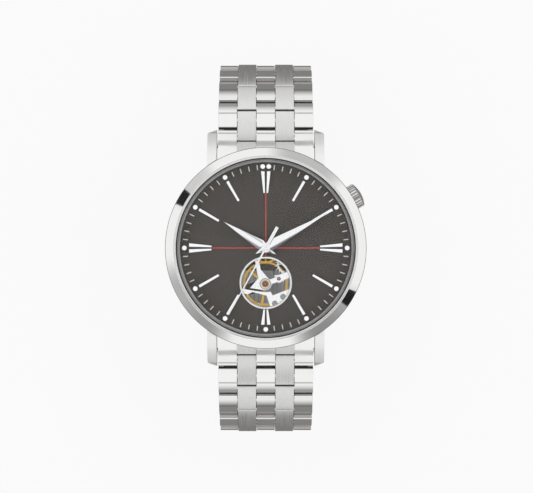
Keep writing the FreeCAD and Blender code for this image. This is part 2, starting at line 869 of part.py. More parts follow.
def escapeWheel():
    # Raked teeth on a thin rim, four spokes and a hub.
    tipRadius = 2.55
    footRadius = 2.0
    rimInner = 1.65
    hubRadius = 0.45
    escapeSpoke = 0.24
    teeth = 20
    points = []
    for tooth in range(teeth):
        start = 2 * math.pi / teeth * tooth
        for radius, share in ((footRadius, 0.0), (footRadius + 0.1, 5.0), (tipRadius, 11.0),
                              (tipRadius - 0.06, 12.5), (footRadius, 8.5)):
            angle = start + math.radians(share)
            points.append(Vector(radius * math.cos(angle), radius * math.sin(angle), escapeLevel))
    points.append(points[0])
    outline = Part.Wire(Part.makePolygon(points).Edges)
    hole = Part.Wire([Part.makeCircle(rimInner, Vector(0, 0, escapeLevel))])
    rim = Part.Face([outline, hole], "Part::FaceMakerBullseye").extrude(Vector(0, 0, leverThickness))
    parts = [Part.makeCylinder(hubRadius, leverThickness, Vector(0, 0, escapeLevel))]
    for index in range(4):
        corner = Vector(0, -escapeSpoke / 2, escapeLevel)
        spoke = Part.makeBox(rimInner + 0.1, escapeSpoke, leverThickness, corner)
        spoke.rotate(Vector(0, 0, 0), zAxis, 90 * index)
        parts.append(spoke)
    phase = meshPhase(fourthCentre, escapeCentre, 72, 8)
    parts.append(gear(8, fourthModule, *escapePinionLevels, phase))
    parts.append(arbor(n("bridgeTop") + shaftShy, n("plateBottom") - shaftShy))
    return placedFormed("escape_wheel", rim.fuse(parts), *escapeCentre)


def mainspringBarrel():
    drumRadius = 5.2
    lidRadius = 2.2
    shaftRadius = 0.9
    low, toothTop, high = barrelLevels
    drum = Part.makeCylinder(drumRadius, high - low, Vector(0, 0, low))
    lid = Part.makeCylinder(lidRadius, 0.12, Vector(0, 0, high))
    teeth = gear(72, barrelModule, low, toothTop)
    shaft = arbor(n("bridgeTop") + shaftShy, n("plateBottom") - shaftShy, shaftRadius)
    solid = drum.fuse([teeth, lid, shaft])
    return placedFormed("mainspring_barrel", solid, *barrelCentre)


def cannonPinion():
    phase = meshPhase(minuteWheelCentre, (0, 0), 36, 12)
    low = n("plateTop") + 0.05
    teeth = gear(12, minuteModule, low, low + 0.32, phase)
    tube = Part.makeCylinder(cannonTubeRadius, n("minuteHandZ") + 0.3 - low - 0.2,
                             Vector(0, 0, low + 0.2))
    neck = Part.makeCylinder(0.4, 0.3, Vector(0, 0, low))
    hole = Part.makeCylinder(cannonBore, 4, Vector(0, 0, low - 1))
    return formed("cannon_pinion", teeth.fuse([tube, neck]).cut(hole))


def minuteWheel():
    low = n("plateTop") + 0.05
    wheel = gear(36, minuteModule, low, low + 0.3)
    pinion = gear(10, hourModule, low + 0.3, low + 0.68)
    hole = Part.makeCylinder(0.2, 4, Vector(0, 0, low - 1))
    solid = wheel.fuse(pinion).cut(hole)
    return placedFormed("minute_wheel", solid, *minuteWheelCentre)


def hourWheel():
    phase = meshPhase(minuteWheelCentre, (0, 0), 10, 40)
    low = n("plateTop") + 0.05 + 0.36
    teeth = gear(40, hourModule, low, low + 0.3, phase)
    tube = Part.makeCylinder(hourTubeRadius, n("hourHandZ") + 0.3 - low, Vector(0, 0, low))
    hole = Part.makeCylinder(hourTubeBore, 4, Vector(0, 0, low - 1))
    return formed("hour_wheel", teeth.fuse(tube).cut(hole))


# Escapement


def palletFork():
    # A lever from its pivot towards the balance staff, with two arms that carry the stones.
    pivot = Vector(n("forkX"), n("forkY"), 0)
    staff = Vector(n("balanceX"), n("balanceY"), 0)
    reach = staff.sub(pivot).Length
    aim = math.degrees(math.atan2(staff.y - pivot.y, staff.x - pivot.x))
    low = forkLevel
    leverWidth = 0.26
    hornWidth = 0.62
    hubRadius = 0.38
    lever = Part.makeBox(reach - 1.15, leverWidth, leverThickness, Vector(0, -leverWidth / 2, low))
    horns = Part.makeBox(0.22, hornWidth, leverThickness, Vector(reach - 1.3, -hornWidth / 2, low))
    hub = Part.makeCylinder(hubRadius, leverThickness, Vector(0, 0, low))
    lever = lever.fuse([horns, hub])
    lever.rotate(Vector(0, 0, 0), zAxis, aim)
    arms = []
    toEscape = math.degrees(math.atan2(escapeCentre[1] - pivot.y, escapeCentre[0] - pivot.x))
    for side in (1, -1):
        arm = Part.makeBox(1.05, leverWidth, leverThickness, Vector(0, -leverWidth / 2, low))
        stone = Part.makeBox(0.16, 0.5, 0.2, Vector(0.95, -0.13 if side > 0 else -0.37, low - 0.03))
        arm = arm.fuse(stone)
        arm.rotate(Vector(0, 0, 0), zAxis, toEscape + 78 * side)
        arms.append(arm)
    shaft = Part.makeCylinder(0.12, n("plateBottom") - shaftShy - forkFoot, Vector(0, 0, forkFoot))
    pin = Part.makeCylinder(n("pivotRadius"), n("pivotLength") + 0.1, Vector(0, 0, n("plateBottom") - 0.1))
    return placedFormed("pallet_fork", lever.fuse(arms + [shaft, pin]), pivot.x, pivot.y)


def balanceWheel():
    low = balanceLevel
    rimHeight = 0.4
    armWidth = 0.5
    hubRadius = 0.75
    rim = Part.makeCylinder(n("balanceRadius"), rimHeight, Vector(0, 0, low))
    inner = n("balanceRadius") - n("balanceRimWidth")
    rim = rim.cut(Part.makeCylinder(inner, rimHeight, Vector(0, 0, low)))
    parts = [Part.makeCylinder(hubRadius, 0.3, Vector(0, 0, low))]
    for index in range(3):
        arm = Part.makeBox(inner + 0.1, armWidth, 0.2, Vector(0, -armWidth / 2, low))
        arm.rotate(Vector(0, 0, 0), zAxis, 120 * index + 20)
        parts.append(arm)
    parts.append(arbor(n("bridgeTop") + shaftShy, n("plateBottom") - shaftShy, 0.14))
    parts.append(Part.makeCylinder(hubRadius, leverThickness, Vector(0, 0, rollerLevel)))
    parts.append(Part.makeCylinder(0.08, 0.3, Vector(0.6, 0, forkFoot)))
    return placedFormed("balance_wheel", rim.fuse(parts), n("balanceX"), n("balanceY"))


def spiralCurve(startRadius, growth, turns, offset):
    # radius = startRadius + growth * turns so far + offset
    points = []
    samples = turns * 24
    for index in range(samples + 1):
        angle = 2 * math.pi * turns * index / samples
        radius = startRadius + growth * turns * index / samples + offset
        points.append(Vector(radius * math.cos(angle), radius * math.sin(angle), springLevel))
    curve = Part.BSplineCurve()
    curve.interpolate(points)
    return curve.toShape()


def hairspring():
    turns = 9
    half = 0.03
    start = 0.3
    growth = 0.22
    inner = spiralCurve(start, growth, turns, -half)
    outer = spiralCurve(start, growth, turns, half)
    caps = [
        Part.makeLine(inner.Vertexes[0].Point, outer.Vertexes[0].Point),
        Part.makeLine(inner.Vertexes[-1].Point, outer.Vertexes[-1].Point),
    ]
    wire = Part.Wire(Part.__sortEdges__([inner, outer] + caps))
    spring = Part.Face(wire).extrude(Vector(0, 0, 0.16))
    return placedFormed("hairspring", spring, n("balanceX"), n("balanceY"))


# Plates and bridges

jewelPlaces = [
    ("plate", n("balanceX"), n("balanceY")),
    ("plate", n("forkX"), n("forkY")),
    ("plate", *thirdCentre),
    ("plate", *fourthCentre),
    ("plate", *escapeCentre),
    ("bridge", n("balanceX"), n("balanceY")),
    ("bridge", *thirdCentre),
    ("bridge", *fourthCentre),
    ("bridge", *escapeCentre),
    ("bridge", 0.0, 0.0),
]
bridgeScrews = [(-9.5, -2.6), (10.2, -2.2), (-2.0, 10.6), (9.0, 7.4)]
heartScrews = [(1.85, -11.3), (3.51, -9.92)]
balanceFoot = (-6.5, -9.5)
barLow = n("plateBottom")
barHigh = barLow + 0.55


def jewelRadiusAt(x, y):
    onStaff = abs(x - n("balanceX")) < 1e-6 and abs(y - n("balanceY")) < 1e-6
    return 0.54 if onStaff else n("jewelRadius")


def jewelTop(kind, x, y):
    # Jewels sit flush with the plate's or bridge's train side.
    if kind == "plate":
        return n("plateBottom") + n("jewelThickness")
    return n("bridgeTop")


def jewels():
    stones = []
    for kind, x, y in jewelPlaces:
        top = jewelTop(kind, x, y)
        base = Vector(x, y, top - n("jewelThickness"))
        stone = Part.makeCylinder(jewelRadiusAt(x, y), n("jewelThickness"), base)
        stones.append(stone.cut(Part.makeCylinder(n("jewelBore"), 2, base - Vector(0, 0, 1))))
    return formed("jewels", Part.makeCompound(stones))


def jewelHoles(kind, low, high):
    holes = []
    for where, x, y in jewelPlaces:
        if where == kind:
            base = Vector(x, y, low)
            holes.append(Part.makeCylinder(jewelRadiusAt(x, y), high - low, base))
    return holes


def bar(x1, y1, x2, y2, width, low, high):
    # A straight bar with round ends between two points.
    start = Vector(x1, y1, low)
    along = Vector(x2 - x1, y2 - y1, 0)
    block = Part.makeBox(along.Length, width, high - low, Vector(0, -width / 2, 0))
    block.rotate(Vector(0, 0, 0), zAxis, math.degrees(math.atan2(along.y, along.x)))
    block.translate(start)
    ends = [Part.makeCylinder(width / 2, high - low, start),
            Part.makeCylinder(width / 2, high - low, start + along)]
    return block.fuse(ends)


def slab(points, centre, low, high):
    # A flat plate with straight sides, its corners given from a centre.
    corners = [Vector(centre[0] + across, centre[1] + up, low) for across, up in points]
    outline = Part.makePolygon(corners + corners[:1])
    return Part.Face(outline).extrude(Vector(0, 0, high - low))


# Bars across the window, as corners measured from the balance's staff
windowRadius = 5.3
hubRadius = 1.27
forkBossRadius = 0.8
windowBars = [
    [(-2.15, 4.9), (-1.35, 4.9), (-0.95, 2.9), (0.6, 1.1), (-0.9, -0.9), (-1.45, 1.3), (-1.75, 2.7)],
    [(-1.4, 1.2), (-3.1, -0.85), (-0.4, -1.25), (0.0, 0.0)],
    [(2.3, 1.65), (5.4, 2.75), (5.4, 1.5), (3.1, 0.45)],
    [(-0.3, -1.7), (1.05, -1.6), (1.5, -2.35), (5.3, -0.9), (5.3, -4.9), (1.1, -4.9),
     (0.75, -3.9), (0.25, -2.4)],
    [(-0.3, -1.7), (-2.9, -1.3), (-5.2, -0.9), (-5.2, -1.75), (-3.55, -2.15), (-2.6, -1.65),
     (0.25, -2.4)],
]


def mainPlate():
    # A disc opened under the dial's aperture, with slim bars across the opening.
    disc = Part.makeCylinder(n("plateRadius"), n("plateTop") - n("plateBottom"),
                             Vector(0, 0, n("plateBottom")))
    window = Part.makeCylinder(windowRadius, 3, Vector(0, n("heartY"), n("plateBottom") - 1))
    disc = disc.cut(window)
    staff = (n("balanceX"), n("balanceY"))
    tall = barHigh - barLow
    forkCentre = (n("forkX"), n("forkY"))
    bars = [
        Part.makeCylinder(hubRadius, tall + 0.1, Vector(*staff, barLow)),
        Part.makeCylinder(forkBossRadius, tall, Vector(*forkCentre, barLow)),
        bar(*staff, *forkCentre, 1.0, barLow, barHigh),
    ]
    room = Part.makeCylinder(windowRadius + 0.05, tall, Vector(0, n("heartY"), barLow))
    bars += [slab(points, staff, barLow, barHigh).common(room) for points in windowBars]
    solid = disc.fuse(bars)
    holes = jewelHoles("plate", n("plateBottom") - 1, n("plateTop") + 1)
    holes.append(Part.makeCylinder(0.3, 3, Vector(0, 0, n("plateBottom") - 1)))
    for x, y in heartScrews:
        holes.append(Part.makeCylinder(0.25, 2, Vector(x, y, barLow - 0.5)))
    post = Part.makeCylinder(0.18, 0.68, Vector(*minuteWheelCentre, n("plateTop") - 0.05))
    return formed("main_plate", solid.cut(holes).fuse(post))


def trainBridge():
    disc = Part.makeCylinder(n("plateRadius") - 0.2, n("bridgeTop") - n("bridgeBottom"),
                             Vector(0, 0, n("bridgeBottom")))
    opening = Part.makeBox(30, 20, 3, Vector(-15, -24.6, 2))
    pillars = [Part.makeCylinder(0.9, n("plateBottom") - n("bridgeTop"),
                                 Vector(x, y, n("bridgeTop"))) for x, y in bridgeScrews]
    solid = disc.cut(opening).fuse(pillars)
    holes = jewelHoles("bridge", n("bridgeBottom") - 1, n("bridgeTop"))
    holes.append(Part.makeCylinder(0.95, 0.3, Vector(*barrelCentre, n("bridgeTop") - 0.25)))
    for x, y in bridgeScrews:
        holes.append(Part.makeCylinder(0.3, 1.5, Vector(x, y, n("bridgeBottom") - 0.1)))
    return formed("train_bridge", solid.cut(holes))


def balanceBridge():
    staff = (n("balanceX"), n("balanceY"))
    low = n("bridgeBottom")
    high = n("bridgeTop")
    arm = bar(*balanceFoot, *staff, 2.2, low, high)
    pillar = Part.makeCylinder(1.1, n("plateBottom") - high, Vector(*balanceFoot, high))
    holes = [Part.makeCylinder(jewelRadiusAt(*staff), 3, Vector(*staff, low - 1)),
             Part.makeCylinder(0.3, 1.2, Vector(*balanceFoot, low - 0.1))]
    return formed("balance_bridge", arm.fuse(pillar).cut(holes))


def screw(x, y, face, depth, up, headRadius=0.55):
    # A slotted cheese-head screw whose head stands on a face.
    side = 1 if up else -1
    head = Part.makeCylinder(headRadius, 0.28, Vector(0, 0, 0))
    slot = Part.makeBox(2 * headRadius + 0.2, 0.16, 0.12, Vector(-headRadius - 0.1, -0.08, 0.17))
    shank = Part.makeCylinder(0.22, depth, Vector(0, 0, -depth))
    solid = head.cut(slot).fuse(shank)
    if side < 0:
        solid.rotate(Vector(0, 0, 0), xAxis, 180)
    solid.translate(Vector(x, y, face))
    return solid


def movementScrews():
    pieces = [screw(x, y, barHigh, 0.4, True, 0.6) for x, y in heartScrews]
    pieces += [screw(x, y, n("bridgeBottom"), 1.2, False) for x, y in bridgeScrews]
    pieces.append(screw(*balanceFoot, n("bridgeBottom"), 1.0, False))
    return formed("movement_screws", Part.makeCompound(pieces))


def movementRing():
    # Holds the movement in the case; the stem passes through its side.
    ring = cylinder("ringBlank", s("caseBore") - s("slideGap"), s("dialBottom") - s("ringBottom"),
                    0, 0, s("ringBottom"))
    bore = cylinder("ringBore", s("ringInner"), 10)
    stem = crownCylinder("ringStemHole", s("stemRadius") + 0.2, s("ringInner") - 1,
                         s("caseBore") + 1)
    tube = crownCylinder("ringTubeRoom", s("tubeRadius") + 0.15, s("caseBore") - 0.6,
                         s("caseBore") + 1)
    return cut("movement_ring", ring, [bore, stem, tube])


def rotor():
    # A half ring of heavy metal on a thin web, turning on the bridge's middle.
    low = s("rotorBottom")
    tall = s("rotorTop") - s("rotorBottom")
    rim = cut("rotorRim", cylinder("rotorRimBlank", s("rotorRadius"), tall, 0, 0, low, None, 180),
              [cylinder("rotorRimBore", s("rotorRimInner"), 5)])
    web = cylinder("rotorWeb", s("rotorRimInner") + 0.2, 0.25, 0, 0, s("rotorTop") - 0.3, None, 180)
    hub = cylinder("rotorHub", 2.4, s("rotorTop") - 0.05 - low + 0.25, 0, 0, low + 0.05)
    return fuse("rotor", [rim, web, hub])


# Crown, stem, tube and seal


def crown():
    # Drawn along +Z with z = 0 on its inner face, fluted, then laid along the crown's axis.
    body = newBody("crown_blank")
    outer = s("crownRadius")
    long = s("crownEnd") - s("crownFace")
    cap = s("crownCap") - s("crownFace")
    room = s("tubeEnd") - s("crownFace") + 0.35
    domeFoot = outer - 0.2
    revolve(body, [[
        (s("tubeRadius") + 0.15, 0), (outer - 0.15, 0), (outer, 0.15), (outer, long - 0.15),
        (domeFoot, long, domeRadius(domeFoot, cap - long)), (0, cap),
        (0, room), (s("tubeRadius") + 0.15, room),
    ]])
    sketch = bodySketch(body, "XY_Plane")
    drawCircle(sketch, outer + 0.12, 0, 0.27)
    flute = pocketBoth(body, sketch, 10)
    flutes = body.newObject("PartDesign::PolarPattern", "crownFlutes")
    flutes.Originals = [flute]
    flutes.Axis = (sketch, ["N_Axis"])
    flutes.Angle = 360
    flutes.Occurrences = 24
    body.Tip = flutes
    place(body, s("crownFace") * crownAlongX, s("crownFace") * crownAlongY, s("crownHeight"), crownTurn)
    boss = crownCylinder("crownBoss", sealInner(), s("crownFace") - 2.4, s("crownFace") + room + 0.02)
    hole = crownCylinder("crownStemHole", s("stemRadius"), s("crownFace") - 3, s("stemOuter"))
    return cut("crown", fuse("crownWhole", [body, boss]), [hole])


def sealInner():
    return s("tubeBore") - 0.2


def crownTube():
    tube = crownCylinder("tubeBlank", s("tubeRadius"), s("caseBore") - 0.4, s("tubeEnd"))
    bore = crownCylinder("tubeInside", s("tubeBore"), s("caseBore") - 1, s("tubeEnd") + 1)
    return cut("crown_tube", tube, [bore])


def crownSeal():
    ring = crownCylinder("sealBlank", s("tubeBore") - 0.02, s("crownFace") - 2.2, s("crownFace") - 1.6)
    bore = crownCylinder("sealInside", sealInner() + 0.01, s("crownFace") - 3, s("crownFace"))
    return cut("crown_seal", ring, [bore])


def windingStem():
    return crownCylinder("winding_stem", s("stemRadius"), s("stemInner"), s("stemOuter"))


# Bracelet

yzPlane = FreeCAD.Rotation(yAxis, zAxis, xAxis, "XYZ")


def profileSketch(name):
    sketch = doc.addObject("Sketcher::SketchObject", name)
    sketch.Placement = FreeCAD.Placement(Vector(0, 0, 0), yzPlane)
    return sketch


def linkProfile(name, start, end, turnPin, crown, holes):
    # Side view of one piece. Its turning end is an arc about turnPin below the middle, the
    # other end is square, and the top is crowned between two soft corners.
    half = s("linkHalf")
    soft = s("linkSoftCorner")
    reach = (end - start) / 2 - soft
    edge = half - crown + root(crown * crown - reach * reach)
    turning = s("linkEnd") - s("endGap") / 2
    under = root(turning * turning - half * half)
    sketch = profileSketch(name)
    if numberOf(turnPin) < 1:
        drawLoop(sketch, [
            (turnPin - under, -half), (end, -half), (end, edge - soft, soft * 1.2),
            (end - soft, edge, crown), (start + soft, edge, soft * 1.2),
            (start, edge - soft), (start, 0, turning),
        ])
    else:
        drawLoop(sketch, [
            (start, -half), (turnPin + under, -half, turning), (end, 0),
            (end, edge - soft, soft * 1.2), (end - soft, edge, crown),
            (start + soft, edge, soft * 1.2), (start, edge - soft),
        ])
    for across, radius in holes:
        drawCircle(sketch, across, 0, radius)
    return sketch


def extruded(name, sketch, width, offset):
    thing = doc.addObject("Part::Extrusion", name)
    thing.Base = sketch
    thing.DirMode = "Custom"
    thing.Dir = (1, 0, 0)
    thing.Solid = True
    bind(thing, "LengthFwd", width)
    return place(thing, offset)


def columnWidth(step):
    # The five columns narrow evenly from the lugs (step 0) to the clasp (step 9).
    whole = s("braceletWidth") - (s("braceletWidth") - s("claspEndWidth")) * (step / 9)
    return (whole - s("columnGap") * 4) / 5


def columns(name, sketch, step, numbers):
    # Extrudes a side view at the wanted columns, numbered -2 to 2 from left to right.
    width = columnWidth(step)
    pieces = []
    for number in numbers:
        offset = (width + s("columnGap")) * number - width / 2
        pieces.append(extruded(f"{name}Column{number + 2}", sketch, width, offset))
    return pieces


def placeLink(link, hinge, tilt, top):
    # Link coordinates have y along the bracelet away from the case and z outwards.
    swing = turn(xAxis, -tilt)
    if top:
        return place(link, 0, hinge[0], hinge[1], swing)
    return place(link, 0, -hinge[0], hinge[1], turn(zAxis, 180).multiply(swing))


pitch = s("linkPitch")
pinFit = s("pinRadius")
pinTurn = s("pinRadius") + s("pinPlay")
# Each piece reaches from its turning pin by linkEnd, less half the gap to its neighbour.
reachTurning = s("linkEnd") - s("endGap") / 2
reachFixed = s("linkEnd") + s("endGap") / 2
polishedSketch = linkProfile(
    "polishedProfile", -reachTurning, pitch - reachFixed, 0, s("polishedCrown"),
    [(0, pinTurn), (pitch / 2, pinFit)],
)
brushedSketch = linkProfile(
    "brushedProfile", reachFixed, pitch + reachTurning, pitch, s("brushedCrown"),
    [(pitch / 2, pinFit), (pitch, pinFit)],
)
halfSketch = linkProfile(
    "halfProfile", -s("halfLinkEnd"), pitch / 2 + reachTurning, pitch / 2, s("brushedCrown"),
    [(0, pinTurn), (pitch / 2, pinFit)],
)


def pin(name, radius, step, along):
    # Full width less a little at each side.
    length = s("braceletWidth") - (s("braceletWidth") - s("claspEndWidth")) * (step / 9) - 0.7
    return cylinder(name, radius, length, -length / 2, along, 0, alongX)


def bracelet():
    # Tilts below the horizontal of the half link and the eight full links of each side.
    tilts = [3, 26, 46, 72, 90, 106, 122, 138, 154]
    made = []
    for side in ("top", "bottom"):
        hinge = [s("firstHingeY"), s("firstHingeZ")]
        for number, tilt in enumerate(tilts):
            base = f"{side}_link_{number}"
            reach = pitch
            if number == 0:
                pieces = columns(base, halfSketch, 0.5, (-1, 1))
                pieces.append(pin(base + "HingePin", s("pinRadius"), 0, pitch / 2))
                reach = pitch / 2
            else:
                pieces = columns(base, polishedSketch, number - 0.5, (-2, 0, 2))
                pieces += columns(base + "Inner", brushedSketch, number, (-1, 1))
                pieces.append(pin(base + "FixedPin", s("pinRadius"), number, pitch / 2))
                pieces.append(pin(base + "HingePin", s("pinRadius"), number, pitch))
            made.append(placeLink(group(base, pieces), hinge, tilt, side == "top"))
            angle = math.radians(tilt)
            hinge = [hinge[0] + reach * math.cos(angle), hinge[1] - reach * math.sin(angle)]
    return made, hinge


def endLinks():
    # One solid at each end of the case: a base, five columns with grooves between, two bores.
    low = s("firstHingeZ") - s("linkHalf")
    high = s("firstHingeZ") + s("linkHalf")
    reach = s("firstHingeY") + pitch / 2 - reachFixed
    deep = profileSketch("endLinkOuter")
    drawLoop(deep, [
        (16, low), (reach, low), (reach, high - 0.3, 0.4), (reach - 0.3, high, 30.0),
        (16, high + 3.6),
    ])
    short = profileSketch("endLinkInner")
    stop = s("firstHingeY") - s("halfLinkEnd") - s("endGap")
    drawLoop(short, [
        (16, low), (stop, low), (stop, high + 0.4, 30.0), (16, high + 3.6),
    ])
    core = profileSketch("endLinkCore")
    drawLoop(core, [
        (16, low), (stop - 0.4, low), (stop - 0.4, high - 0.3), (stop - 2, high + 0.3), (16, high + 2.6),
    ])
    whole = s("braceletWidth")
    pieces = [extruded("endLinkBase", core, whole - 0.4, -whole / 2 + 0.2)]
    pieces += columns("endLinkOuter", deep, 0, (-2, 0, 2))
    pieces += columns("endLinkInner", short, 0, (-1, 1))
    solid = fuse("endLinkBlank", pieces)
    length = whole + 2
    tools = [
        cylinder("endLinkCaseRoom", s("caseRadius") + s("slideGap") * 2, 30, 0, 0, -5),
        cylinder("endLinkBezelRoom", s("bezelRadius") + s("slideGap"), 30, 0, 0, s("caseTop") - 0.2),
        cylinder("endLinkBarBore", s("springBarRadius") + s("pinPlay"), length, -length / 2,
                 s("springBarY"), s("springBarZ"), alongX),
        cylinder("endLinkPinBore", s("pinRadius"), length, -length / 2,
                 s("firstHingeY"), s("firstHingeZ"), alongX),
    ]
    top = cut("endLinkTop", solid, tools)
    pinLength = whole - 0.7
    endPin = cylinder("endLinkPin", s("pinRadius"), pinLength, -pinLength / 2,
                      s("firstHingeY"), s("firstHingeZ"), alongX)
    one = group("endLinkPair", [top, endPin])
    mirror = doc.addObject("Part::Mirroring", "endLinkBottom")
    mirror.Source = one
    mirror.Base = (0, 0, 0)
    mirror.Normal = (0, 1, 0)
    return group("end_links", [one, mirror])


def springBars():
    bars = []
    for side in (1, -1):
        body = s("braceletWidth") - 0.1
        tips = s("lugGap") + s("lugHoleDepth") * 2 - 0.1
        barrel = cylinder("springBarBody", s("springBarRadius"), body, -body / 2,
                          s("springBarY") * side, s("springBarZ"), alongX)
        tip = cylinder("springBarTips", s("springTipRadius"), tips, -tips / 2,
                       s("springBarY") * side, s("springBarZ"), alongX)
        bars.append(fuse("springBar", [barrel, tip]))
    return group("spring_bars", bars)


# Clasp


def band(name, centreZ, innerRadius, thickness, halfWidth, fromY, toY):
    # Part of a tube about the clasp's centre of curvature, between two places along Y.
    middle = innerRadius + thickness / 2
    start = math.degrees(math.asin(numberOf(fromY) / numberOf(middle)))
    end = math.degrees(math.asin(numberOf(toY) / numberOf(middle)))
    # Angle zero of the cylinder points down after the turns, and grows towards +Y.
    lay = turn(xAxis, start).multiply(turn(yAxis, 90))
    outer = cylinder(name + "Outer", innerRadius + thickness, halfWidth * 2, -halfWidth, 0,
                     centreZ, lay, end - start)
    inner = cylinder(name + "Inner", innerRadius, halfWidth * 4, -halfWidth * 2, 0,
                     centreZ, turn(yAxis, 90))
    return cut(name, outer, [inner])


def clasp(lastHinge):
    # Everything is laid out from the bracelet's last pin on the 6 o'clock side.
    half = s("bladeHalfWidth")
    linkY = -lastHinge[0]
    linkZ = lastHinge[1]
    foldY = lastHinge[0] - s("foldPinInset")
    coverPinY = s("coverPinInset") - lastHinge[0]
    buttonY = lastHinge[0] - s("buttonInset")
    bladeMiddle = s("innerBladeRadius") + s("bladeThickness") / 2
    centreZ = linkZ + 0.92 + root(bladeMiddle * bladeMiddle - linkY * linkY)

    def pivotZ(radius, y):
        # Height of a pivot at a radius from the centre of curvature.
        return centreZ - root(radius * radius - y * y)

    foldZ = pivotZ(s("innerBladeRadius") + 1.1, foldY)
    coverPinZ = pivotZ(s("outerBladeRadius") + 0.5, coverPinY)
    tongue = columnWidth(9) / 2 - 0.05

    inner = fuse("innerBladeBlank", [
        band("innerBladeBand", centreZ, s("innerBladeRadius"), s("bladeThickness"), half,
             linkY + 2.9, foldY - 0.6),
        band("innerBladeTongue", centreZ, s("innerBladeRadius"), s("bladeThickness"), tongue,
             linkY + 0.4, linkY + 3.3),
        cylinder("innerBladeEye", 1.3, tongue * 2, -tongue, linkY, linkZ, alongX),
        cylinder("innerBladeKnuckle", 1.0, 4.0, -2.0, foldY, foldZ, alongX),
    ])
    innerBlade = cut("inner_blade", inner, [
        cylinder("innerBladePinHole", s("pinRadius") + s("pinPlay"), 20, -10, linkY, linkZ, alongX),
        cylinder("innerBladeFoldHole", 0.45 + s("pinPlay"), 20, -10, foldY, foldZ, alongX),
        cylinder("innerBladeNotchLeft", 1.35, 4, -6.1, foldY, foldZ, alongX),
        cylinder("innerBladeNotchRight", 1.35, 4, 2.1, foldY, foldZ, alongX),
    ])

    outer = fuse("outerBladeBlank", [
        band("outerBladeBand", centreZ, s("outerBladeRadius"), s("bladeThickness"), half,
             coverPinY + 0.3, foldY - 0.3),
        cylinder("outerBladeKnuckleLeft", 1.0, 2.4, -half, foldY, foldZ, alongX),
        cylinder("outerBladeKnuckleRight", 1.0, 2.4, half - 2.4, foldY, foldZ, alongX),
        cylinder("outerBladeEye", 0.85, half * 2, -half, coverPinY, coverPinZ, alongX),
    ])
    outerCut = cut("outerBladeCut", outer, [
        cylinder("outerBladeNotch", 1.35, 4.2, -2.1, foldY, foldZ, alongX),
        cylinder("outerBladeFoldHole", 0.45, 20, -10, foldY, foldZ, alongX),
        cylinder("outerBladeCoverHole", 0.4 + s("pinPlay"), 20, -10, coverPinY, coverPinZ, alongX),
    ])
    foldPin = cylinder("foldPin", 0.45, half * 2, -half, foldY, foldZ, alongX)
    outerBlade = group("outer_blade", [outerCut, foldPin])

    width = s("claspEndWidth")
    reach = lastHinge[0] - s("coverEndGap")
    plate = band("coverPlate", centreZ, s("coverRadius"), s("coverThickness"), width / 2, -reach, reach)
    walls = []
    for side in (1, -1):
        wall = band(f"coverWall{side + 1}", centreZ, s("coverRadius") - 2.1, 2.2, 0.45, -reach, reach)
        wall.Placement = FreeCAD.Placement(
            Vector(side * (numberOf(width) / 2 - 0.45), 0, 0), FreeCAD.Rotation())
        wall.setExpression("Placement.Base.x", ((width / 2 - 0.45) * side).text)
        walls.append(wall)
    blank = fuse("coverBlank", [plate] + walls)
    buttonRadius = s("coverRadius") - 0.95
    buttonZ = pivotZ(buttonRadius, buttonY)
    cover = cut("coverCut", blank, [
        cylinder("coverPinHole", 0.4, 30, -15, coverPinY, coverPinZ, alongX),
        cylinder("buttonHoles", 0.95, 30, -15, buttonY, buttonZ, alongX),
    ])
    coverPin = cylinder("coverPin", 0.4, width - 0.2, -(width / 2 - 0.1), coverPinY, coverPinZ, alongX)
    claspCover = group("clasp_cover", [cover, coverPin])

    buttons = []
    for name, side in (("left_push_button", -1), ("right_push_button", 1)):
        face = width / 2 + 0.9
        cap = cylinder(name + "Cap", 1.2, 0.5, face - 0.5, buttonY, buttonZ, alongX)
        stem = cylinder(name + "Stem", 0.9, 3.0, face - 3.2, buttonY, buttonZ, alongX)
        button = fuse(name, [cap, stem])
        if side < 0:
            button.Label = name + "Right"
            mirror = doc.addObject("Part::Mirroring", name + "Mirrored")
            mirror.Source = button
            mirror.Base = (0, 0, 0)
            mirror.Normal = (1, 0, 0)
            mirror.Label = name
            button = mirror
        buttons.append(button)
    return [innerBlade, outerBlade, claspCover] + buttons


def build():
    sizes["stemOuter"] = s("crownFace") + 1.3
    nodes = [
        midCase(), bezel(), crystal(), gaskets(), caseBack(), caseBackGlass(), rehaut(), dial(),
        apertureRing(), hourMarkers(),
        dauphineHand("hour_hand", s("hourHandLength"), hourTubeRadius, s("hourHandZ"), 302),
        dauphineHand("minute_hand", s("minuteHandLength"), cannonTubeRadius, s("minuteHandZ"), 60.5),
        secondHandAndPinion(), hourWheel(), cannonPinion(), minuteWheel(), mainPlate(),
        trainBridge(), mainspringBarrel(), centreWheel(), thirdWheel(), fourthWheel(),
        escapeWheel(), palletFork(), balanceWheel(), hairspring(), balanceBridge(), jewels(),
        movementScrews(), rotor(), crown(), windingStem(), crownTube(), crownSeal(),
        movementRing(), endLinks(), springBars(),
    ]
    links, lastHinge = bracelet()
    nodes += links
    nodes += clasp(lastHinge)
    return nodes


def checkAndWrite(nodes):
    doc.recompute()
    for thing in doc.Objects:
        if "Invalid" in thing.State or "Error" in thing.State:
            raise RuntimeError(f"{thing.Name} did not compute: {thing.State}")
    os.makedirs("parts", exist_ok=True)
    for node in nodes:
        shape = node.Shape
        if shape.isNull() or not shape.isValid():
            raise RuntimeError(f"{node.Label} has no valid shape")
        if not shape.Solids:
            raise RuntimeError(f"{node.Label} has no solid")
    for node in nodes:
        node.Shape.exportStep(f"parts/{node.Label}.step")
        print(node.Label, len(node.Shape.Solids), round(node.Shape.Volume, 3))
    print(len(nodes), "sub-parts")


checkAndWrite(build())
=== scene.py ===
import json
import math

